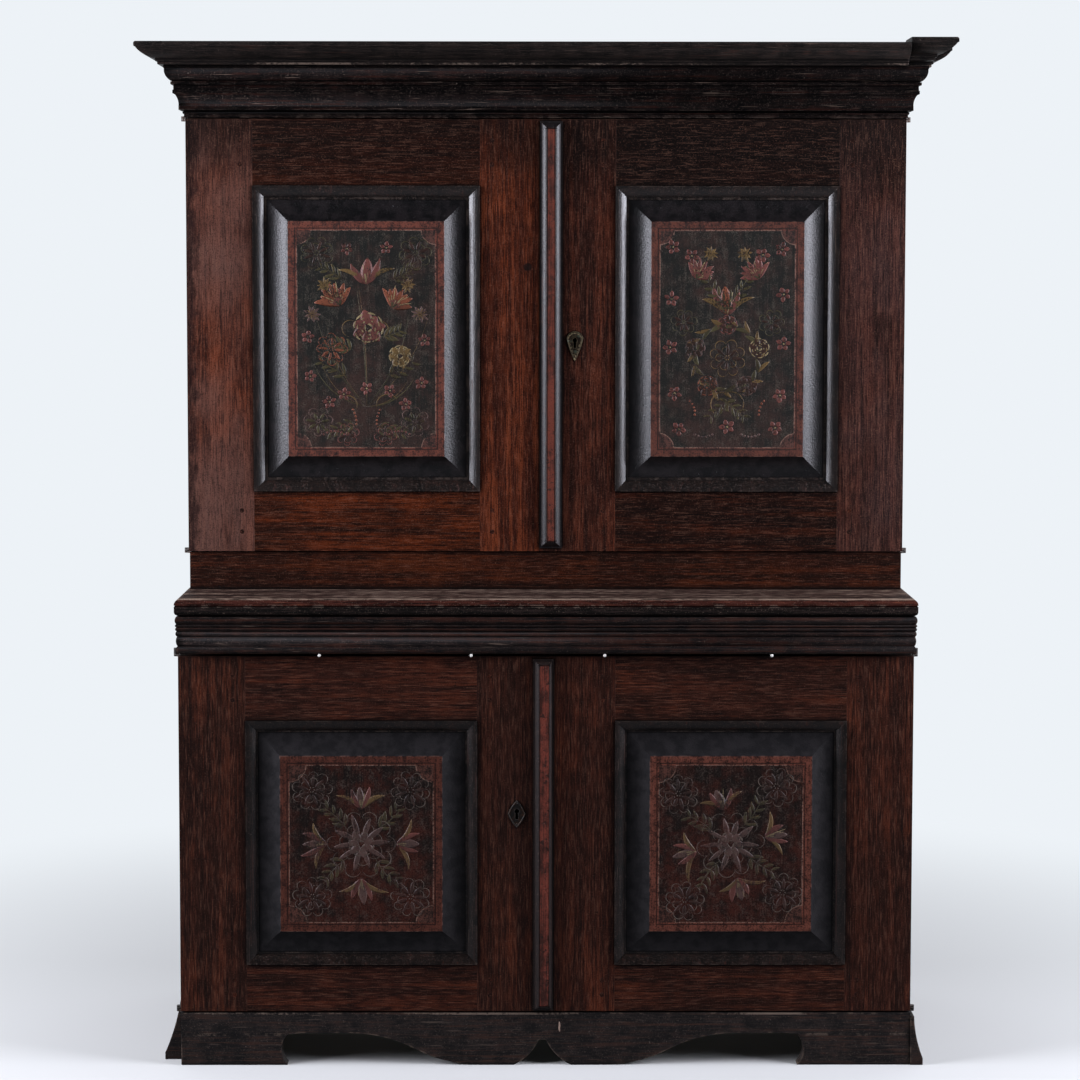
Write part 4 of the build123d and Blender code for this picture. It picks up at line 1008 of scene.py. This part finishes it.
@dataclass
class UpperLeftDoor(Door):
    """Upper left door: a tall bunch of roses and carnations tied low down."""

    def paint(self) -> Brush:
        """Paints the bunch."""
        brush = Brush(11)
        for heading, length, bend in ((118, 176, -34), (63, 184, 38), (92, 214, 10), (142, 118, -60),
                                      (38, 110, 64)):
            brush.stroke(0, -120, heading, length, 2.6, Tone.OLIVE, bend=bend)
            brush.stroke(0.8, -120, heading, length * 0.96, 0.9, Tone.OCHRE, bend=bend)
        for u, v, heading, length in ((-30, -70, 150, 66), (32, -66, 28, 64), (-14, -152, 196, 60),
                                      (14, -152, -16, 60), (-40, 104, 150, 52), (42, 104, 30, 52),
                                      (-22, -20, 160, 40), (26, 4, 20, 40)):
            brush.leaves(u, v, heading, length, 4, 18, 22.0)
        for side in (-1, 1):
            brush.bloom(side * 88, 152, 50, Tone.EARTH, Tone.OLIVE, 8)
            brush.star(side * 96, 44, 30, Tone.MAUVE)
            brush.bloom(side * 86, -148, 44, Tone.OLIVE, Tone.MAUVE, 7)
            brush.stroke(side * 18, -124, 90 - side * 70, 60, 2.2, Tone.OCHRE, bend=-side * 170)
            brush.berries(side * 40, -172, 90 - side * 90, 7, Tone.ROSE, -side * 80)
            brush.star(side * 74, 96, 26, Tone.OCHRE)
            brush.bloom(side * 34, -170, 34, Tone.EARTH, Tone.ROSE, 7)
            brush.stroke(side * 30, 4, 90 + side * 20, 52, 2.0, Tone.OCHRE, bend=side * 200)
            brush.berries(side * 24, -128, 270 - side * 12, 5, Tone.SALMON, side * 40)
        brush.rose(4, 20, 58, Tone.ROSE, Tone.CREAM)
        brush.bloom(-62, -18, 48, Tone.SALMON, Tone.SALMON, 8)
        brush.rose(60, -30, 42, Tone.OCHRE, Tone.CREAM)
        brush.carnation(-46, 60, 118, 44, Tone.SALMON)
        brush.carnation(46, 56, 60, 42, Tone.SALMON)
        brush.tulip(0, 98, 92, 50, Tone.ROSE)
        for u, v in ((-100, -66), (98, -78), (-40, -98), (42, -92), (-34, 160), (36, 162), (-104, 4),
                     (104, -2), (-66, -112), (70, -116), (0, -88)):
            brush.blossom(u, v, 22, Tone.ROSE)
        return brush


@dataclass
class UpperRightDoor(Door):
    """Upper right door: a garland ring with sprigs above and small stars about it."""

    def paint(self) -> Brush:
        """Paints the garland."""
        brush = Brush(23)
        ring, middle = 60.0, -34.0
        for turn in range(0, 360, 24):
            u, v = polar(ring, turn)
            brush.stroke(u, middle + v, turn + 118, 27, 9, Tone.OLIVE, bend=30)
            brush.stroke(u, middle + v, turn + 64, 25, 8, Tone.OCHRE, bend=-30)
        for turn, tone in enumerate((Tone.ROSE, Tone.MAUVE, Tone.SALMON, Tone.MAUVE, Tone.CREAM)):
            u, v = polar(ring, 90 + 72 * turn)
            brush.rose(u, middle + v, 38, Tone.EARTH, tone)
        brush.bloom(0, middle, 56, Tone.EARTH, Tone.OCHRE, 8)
        brush.tulip(0, 44, 90, 54, Tone.SALMON)
        for side in (-1, 1):
            brush.leaves(side * 12, 50, 90 + side * 40, 78, 5, -side * 26, 22.0)
            brush.carnation(side * 56, 108, 90 + side * 32, 38, Tone.ROSE)
            brush.leaves(side * 10, -108, 270 - side * 52, 56, 4, side * 24, 20.0)
            brush.stroke(side * 6, -98, 270 - side * 30, 74, 2.2, Tone.OCHRE, bend=side * 190)
            brush.berries(side * 26, -172, 90 - side * 90, 6, Tone.MAUVE, side * 60)
            brush.bloom(side * 78, 30, 38, Tone.EARTH, Tone.OLIVE, 7)
            brush.star(side * 30, 152, 26, Tone.OCHRE)
            brush.berries(side * 66, -112, 270 - side * 20, 5, Tone.SALMON, side * 50)
        for u, v in ((-98, 164), (-64, 148), (96, 160), (62, 150), (-100, 72), (100, 80), (-102, -14),
                     (100, -8), (-94, -96), (94, -100), (-86, -160), (86, -158), (0, -156)):
            brush.blossom(u, v, 25, Tone.ROSE)
        return brush


@dataclass
class LowerDoor(Door):
    """Lower door: a great rosette on crossed sprigs, worn to grey."""
    ground: PictureGround = PictureGround("#1c1411", "#401f17", "#4f463f", 67.0, 0.38)
    film: tuple[str, str] = ("#1c1b1c", "#272526")
    inset: float = 61.0 * MM
    corner: float = 30.0 * MM
    wear: float = 0.72
    haze: float = 0.42
    turn: float = 0.0  # the rosette's, degrees
    brush_seed: int = 41

    def paint(self) -> Brush:
        """Paints the rosette."""
        brush = Brush(self.brush_seed)
        for heading in (45, 135, 225, 315):
            way = heading + self.turn
            brush.leaves(*polar(34, way), way, 60, 4, 24, 24)
            right, up = polar(1.0, heading + self.turn / 3)
            brush.bloom(122 * right, 134 * up, 62, Tone.EARTH, Tone.ASH, 9)
        for heading in (0, 90, 180, 270):
            way = heading + self.turn
            brush.tulip(*polar(62, way), way, 42, Tone.MAUVE)
        brush.bloom(0, 0, 108, Tone.MAUVE, Tone.ASH, 10)
        brush.rose(0, 0, 48, Tone.MAUVE, Tone.ASH)
        return brush


@dataclass
class KeyPlate:
    """Raised rim, beads and pins on the plate round a keyhole, all in mm from the keyhole's round.

    The outline is a ring of arcs: a point at share t of a chord stands out by 4 * sag * t * (1 - t), which is
    a circle's arc for a small rise. The rim is a half-round carried along it, and the beads are low domes.
    """
    node: str
    body: str
    slot: str
    metal: AgedBrass | ForgedIron
    corners: tuple[tuple[float, float], ...]  # of the outline, anticlockwise
    sags: tuple[float, ...]  # rise of each side, from each corner to the next
    keyhole: tuple[float, float]  # X and Z of its round, m
    pins: tuple[tuple[float, float], ...]
    inset_mm: float = 1.1
    rim_mm: float = 0.9
    bead_mm: float = 0.0
    bead_pitch_mm: float = 3.0
    pin_mm: float = 1.6
    dome: float = 0.7  # height of a bead or pin over its radius

    def build(self) -> None:
        """Dresses the plate and adds its raised work."""
        material = self.metal.material()
        dress(self.node, material)
        outline = self.outline(16)
        parts = [self.rim(self.shrunk(outline, self.inset_mm))]
        if self.bead_mm:
            row = self.shrunk(outline, self.inset_mm + self.rim_mm + self.bead_mm)
            length = np.linalg.norm(np.roll(row, -1, 0) - row, axis=1).sum()
            beads = np.linspace(0, len(row), int(length / self.bead_pitch_mm), endpoint=False)
            parts.append(self.domes(row[beads.astype(int)], self.bead_mm))
        parts.append(self.domes(np.array(self.pins, float), self.pin_mm))
        starts = np.cumsum([0, *(len(points) for points, _ in parts)]).tolist()
        faces = [[start + n for n in face] for start, part in zip(starts, parts) for face in part[1]]
        joined = np.concatenate([points for points, _ in parts]), faces
        new_piece(f"{self.node}_rim", joined, self.body, material)

    def outline(self, count: int) -> Array:
        """The plate's outline, with so many points on each side."""
        start = np.array(self.corners, float)
        chord = np.roll(start, -1, 0) - start
        right = np.stack([chord[:, 1], -chord[:, 0]], -1) / np.linalg.norm(chord, axis=1, keepdims=True)
        share = np.arange(count)[None, :, None] / count
        rise = 4 * share * (1 - share) * np.array(self.sags, float)[:, None, None]
        return (start[:, None] + chord[:, None] * share + right[:, None] * rise).reshape(-1, 2)

    @staticmethod
    def inward(path: Array) -> Array:
        """Unit normals to the left of a closed path, each from the points on both sides."""
        along = np.roll(path, -1, 0) - np.roll(path, 1, 0)
        return np.stack([-along[:, 1], along[:, 0]], -1) / np.linalg.norm(along, axis=1, keepdims=True)

    def shrunk(self, outline: Array, by: float) -> Array:
        """Moves an outline inwards along its normals by so many mm."""
        return outline + by * self.inward(outline)

    def placed(self, flat: Array, out: Array) -> Array:
        """Puts points into the frame, from their places on the plate and their heights over its face."""
        x, z = self.keyhole
        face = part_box(self.node)[0].y
        right, up = flat[..., 0], flat[..., 1]
        return np.stack(np.broadcast_arrays(x + MM * right, face - MM * out, z + MM * up), -1)

    def rim(self, path: Array, around: int = 8) -> Shell:
        """Half-round carried along a closed path."""
        cos, sin = circle(around)
        flat = path[:, None] + self.inward(path)[:, None] * (cos * self.rim_mm)[None, :, None]
        points = self.placed(flat, np.where(sin > 0, sin, -0.3) * self.rim_mm)
        return points.reshape(-1, 3), skin(len(path), around, closed=True).tolist()

    def domes(self, places: Array, radius: float) -> Shell:
        """Low domes, closed below: circles whose radius is a cosine and whose height is a sine."""
        lift = np.radians([-25.0, 0.0, 35.0, 65.0, 86.0])
        flat = places[:, None, None] + radius * np.cos(lift)[:, None, None] * circle(10).T
        return shells(self.placed(flat, radius * self.dome * np.sin(lift)[:, None]))


@dataclass
class CoverStrip:
    """Bevelled strip on a meeting stile: red flat between black bevels."""
    node: str
    seed: float
    flat: str = "#6d3426"
    bevel: str = "#1d1a1b"
    gloss: float = 0.34
    roughness: float = 0.36

    def build(self) -> None:
        """Dresses the strip; the flat is the part that lies within a hair of its foremost plane."""
        g = Surface(f"{self.node}_paint", self.seed)
        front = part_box(self.node)[0].y
        fibres = g.streaks(0.0, 2.0, 60.0)
        blotches = g.clouds(3.0, 22.0, 6.0)
        grit = g.clouds(5.0, 2.1, 2.0)
        worn = g.total((fibres, 0.3), (blotches, 0.4), (g.streaks(9.0, 30.0, 190.0, 4.0), 0.3))
        red = g.coats("#371912", (g.step(worn, 0.42, 0.57), self.flat))
        black = g.coats(self.bevel, (g.step(worn, 0.54, 0.66, 0.75), "#4a3229"))
        on_bevel = g.step(g.y, front + 0.4 * MM, front + 1.0 * MM)
        # the last coat is dirt and painted shade in inner corners, from ambient occlusion
        colour = g.coats(red, (on_bevel, black),
                         (g.step(g.clouds(7.0, 9.0, 5.0), 0.58, 0.66, 0.8), "#14100e"),
                         (g.step(grit, 0.44, 0.30, 0.7), "#0a0605"),
                         (g.step(grit, 0.60, 0.75, 0.35), "#8a7064"),
                         (g.corner_dirt_and_shade(5.0, 0.45, 0.85), "#050404"))
        rough = g.total((on_bevel, self.roughness - 0.5), (g.step(grit, 0.5, 0.7), 0.2), base=0.5)
        height = g.total((fibres, 1.0), (blotches, 0.8), (grit, 1.0))
        dress(self.node, g.close(colour, rough, height, 0.2, self.gloss))


@dataclass
class Repairs:
    """Later odds and ends: filler plugs over the lower doors and a splinter on the apron."""
    plug_radius: float = 2.6 * MM
    plug_x: tuple[float, ...] = (-0.396, -0.131, 0.102, 0.394)
    plug_z: float = 0.7312
    plug_length: float = 44 * MM
    plug_depth: float = 27 * MM  # the plugs' rear ends behind the apron's face
    splinter: tuple[float, float, float] = (0.024, 0.069, 0.009)  # middle on X and Z, half its height
    splinter_half: float = 2.0 * MM  # half its width
    splinter_rise: float = 0.5 * MM
    splinter_wave: float = 0.3 * MM

    def build(self) -> None:
        """Builds the plugs, round pins that point forwards, and the splinter, a slightly wavy spindle."""
        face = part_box("apron_board")[0].y
        depth, swell = np.array([(0.0, 1.0), (0.4, 1.0), (0.97, 1.0), (1.0, 0.85)]).T[..., None]
        cos, sin = circle(12)
        grids = np.stack(np.broadcast_arrays(
            np.array(self.plug_x)[:, None, None] + self.plug_radius * swell * cos,
            face + self.plug_depth - self.plug_length * depth,
            self.plug_z + self.plug_radius * swell * sin), -1)
        new_piece("filler_plugs", shells(grids), "case", Chalk().material())
        x, z, half = self.splinter
        share = np.linspace(-1, 1, 9)[:, None]
        cos, sin = circle(6)
        grid = np.stack(np.broadcast_arrays(
            x - self.splinter_half * (1 - 0.5 * share ** 2) * cos + self.splinter_wave * np.sin(5 * share),
            face - self.splinter_rise * np.where(sin > 0, sin, -0.2),
            z + half * share), -1)
        pale = BarePine("splinter_pine", Grain.UPRIGHT, 5.0, light="#d9bfae", dark="#b89684", dust=0.5)
        new_piece("pale_splinter", shells(grid[None]), "case", pale.material())


@dataclass
class Ironwork:
    """Hinges, locks, bolts and staples."""
    endings: tuple[str, ...] = ("hinge_leaves", "hinge_plates", "hinge_pins", "lock_case", "lock_bolt",
                                "staples", "slide_bolt")

    def build(self) -> None:
        """Dresses every iron."""
        iron = ForgedIron().material()
        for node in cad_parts:
            if node.endswith(self.endings):
                dress(node, iron)


# ---------------------------------------------------------------- studio
@dataclass(frozen=True)
class Studio:
    """Pale room with a dark front: two large soft boxes at the sides, a pale floor and a pale back."""
    pale: str = "#edf2f7"
    floor: str = "#dbdcd9"
    floor_bounce: str = "#7e7f80"  # what other rays find, so that the floor throws up little light
    floor_reach: float = 40.0
    floor_fade: tuple[float, float] = (0.8, 2.2)  # from the middle, where the floor turns into the background
    floor_behind: tuple[float, float] = (-0.3, 0.6)  # Y over which the cupboard's front gives way to its back
    sky_behind: tuple[float, float] = (0.05, 0.65)  # the same for a direction's Y
    front_glow: float = 0.03
    back_glow: float = 0.8
    box_watts: float = 190.0
    box_side: float = 1.9
    box_place: tuple[float, float, float] = (3.1, -1.0, 1.9)
    box_tint: tuple[float, float, float] = (0.88, 0.89, 1.0)

    def build(self) -> None:
        """Makes the lamps, the world and the floor."""
        for side in (-1, 1):
            lamp = bpy.data.lights.new(f"soft_box_{side}", "AREA")
            lamp.shape = "SQUARE"
            lamp.size = self.box_side
            lamp.energy = self.box_watts
            lamp.color = self.box_tint
            holder = bpy.data.objects.new(lamp.name, lamp)
            holder.location = (side * self.box_place[0], *self.box_place[1:])
            toward = Vector((0.0, -0.2, self.box_place[2])) - holder.location
            holder.rotation_euler = toward.to_track_quat("-Z", "Y").to_euler()
            holder.visible_camera = False
            bpy.context.scene.collection.objects.link(holder)
        self.world()
        self.ground()

    @staticmethod
    def shown(g: Graph, behind: Socket) -> Socket:
        """Where the pale background shows: to the camera all round, to gloss and glass behind the cupboard.

        Args:
            g: the tree.
            behind: 1 behind the cupboard, 0 in front.

        Returns:
            1 where it shows.
        """
        mirrored = g.add("Math", g.add("LightPath", out="Is Glossy Ray"),
                         g.add("LightPath", out="Is Transmission Ray"), operation="ADD")
        mirrored = g.add("Math", mirrored, behind, operation="MULTIPLY")
        return g.add("Math", g.add("LightPath", out="Is Camera Ray"), mirrored, operation="MAXIMUM")

    def world(self) -> None:
        """Sky: other rays than the camera's find it dark in front and pale behind the cupboard."""
        world = bpy.data.worlds.new("studio")
        bpy.context.scene.world = world
        world.use_nodes = True
        g = Graph(world.node_tree)
        y = g.add("SeparateXYZ", g.add("TexCoord", out="Generated"), out="Y")
        behind = g.add("MapRange", y, *self.sky_behind, interpolation_type="SMOOTHSTEP")
        glow = g.add("MapRange", behind, 0.0, 1.0, self.front_glow, self.back_glow)
        sky = g.add("Background", linear(self.pale), g.add("Mix", self.shown(g, behind), glow, 1.0))
        g.add("OutputWorld", sky)

    def ground(self) -> None:
        """Floor that fades into the pale background away from the cupboard and keeps its shadow."""
        mesh = bpy.data.meshes.new("floor")
        far = self.floor_reach
        mesh.from_pydata([(-far, -far, 0), (far, -far, 0), (far, far, 0), (-far, far, 0)], [], [(0, 1, 2, 3)])
        floor = bpy.data.objects.new("floor", mesh)
        bpy.context.scene.collection.objects.link(floor)
        g = Surface("pale_floor")
        far = g.step(g.add("VectorMath", g.place, operation="LENGTH"), *self.floor_fade)
        seen = self.shown(g, g.step(g.y, *self.floor_behind))
        near = g.add("BsdfDiffuse", g.coats(self.floor_bounce, (seen, self.floor)))
        pale = g.add("Emission", linear(self.pale), 1.0)
        g.add("OutputMaterial", g.add("MixShader", g.both(far, seen), near, pale))
        mesh.materials.append(g.material)


@dataclass(frozen=True)
class Camera:
    """Long lens a little above the middle, looking slightly down; the shift raises the horizon."""
    place: tuple[float, float, float] = (-0.0388, -5.144, 1.398)
    yaw: float = 0.324
    pitch: float = -4.193
    roll: float = 0.058
    lens: float = 93.74
    shift_y: float = -0.057

    def build(self) -> None:
        """Makes the camera and gives it to the scene."""
        data = bpy.data.cameras.new("camera")
        data.lens, data.shift_y = self.lens, self.shift_y
        camera = bpy.data.objects.new("camera", data)
        turn = (Matrix.Rotation(math.radians(-self.yaw), 4, "Z")
                @ Matrix.Rotation(math.radians(90 + self.pitch), 4, "X")
                @ Matrix.Rotation(math.radians(self.roll), 4, "Z"))
        camera.matrix_world = Matrix.Translation(self.place) @ turn
        bpy.context.scene.collection.objects.link(camera)
        bpy.context.scene.camera = camera


def doors() -> list[Door]:
    """The four doors with their own shades of stain and paint."""
    # The grey veil of the outer stiles includes painted sheen, their pale ribs are painted highlights, and the
    # darkening under the cornice includes painted shade.
    return [
        UpperLeftDoor("upper_left_door", 101.0, "#713d2f", 0.38,
                      dict(shade="#2e120a", body="#5a2816", rubbed="#823f22", rub=0.55, veil_and_sheen=0.8,
                           veil_and_sheen_tone="#674940", grime=0.8, soot_and_shade=(1.53, 1.66),
                           spots=((-0.0326, 1.4076, 7.5 * MM),)),
                      dict(shade="#230d05", body="#421b0b", rubbed="#6c2d10", rub=0.55, soot_and_shade=(1.5, 1.62))),
        UpperRightDoor("upper_right_door", 131.0, "#623629", 0.4,
                       dict(shade="#1f0e0a", body="#3f1d13", rubbed="#62301e", rub=0.5, veil_and_sheen=0.4,
                            veil_and_sheen_tone="#4a3836", bloom=0.14, soot_and_shade=(1.5, 1.64)),
                       dict(shade="#110604", body="#270f07", rubbed="#4c1f0d", rub=0.45, soot_and_shade=(1.48, 1.58))),
        LowerDoor("lower_left_door", 151.0, "#5b3328", 0.12,
                  dict(shade="#1d0e0a", body="#3b1e15", rubbed="#5d2d1b", rub=0.45),
                  dict(shade="#1b0c08", body="#3a1c13", rubbed="#5c2b19", rub=0.46)),
        LowerDoor("lower_right_door", 171.0, "#6f4033", 0.12,
                  dict(shade="#1e0e0a", body="#3f1f15", rubbed="#622e1b", rub=0.46),
                  dict(shade="#1b0c08", body="#3c1d13", rubbed="#602c18", rub=0.46),
                  turn=12.0, brush_seed=47)]


def main() -> None:
    """Builds the cupboard's finish, the studio and the camera, in that order."""
    logging.basicConfig(level=logging.INFO, format="%(name)s %(message)s", force=True)
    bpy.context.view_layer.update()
    strips = (CoverStrip("upper_right_door_cover_strip", 81.0),
              CoverStrip("lower_left_door_cover_strip", 87.0, flat="#74372a", bevel="#1f1715", gloss=0.26,
                         roughness=0.45))
    plates = (KeyPlate("upper_right_door_escutcheon", "upper_right_door", "brass", AgedBrass(),
                       corners=((0, -37), (15, 4), (0, 16), (-15, 4)), sags=(1.6, 3.2, 3.2, 1.6),
                       keyhole=(0.0515, 1.277), pins=((0, 11.5), (0, -27)), bead_mm=1.1),
              KeyPlate("lower_left_door_escutcheon", "lower_left_door", "wrought_iron",
                       ForgedIron("plate_iron", 7.0), sags=(1.6,) * 4, keyhole=(-0.0515, 0.454),
                       corners=((0, -28.85), (15.5, -4.85), (0, 19.15), (-15.5, -4.85)),
                       pins=((0, 14), (0, -23)), rim_mm=1.1))
    for assembly in (CaseWork(), Mouldings(), *doors(), *strips, Repairs(), Ironwork(), *plates, Studio(),
                     Camera()):
        assembly.build()
    bpy.context.scene.view_settings.view_transform = "Standard"


if __name__ == "__main__":
    main()
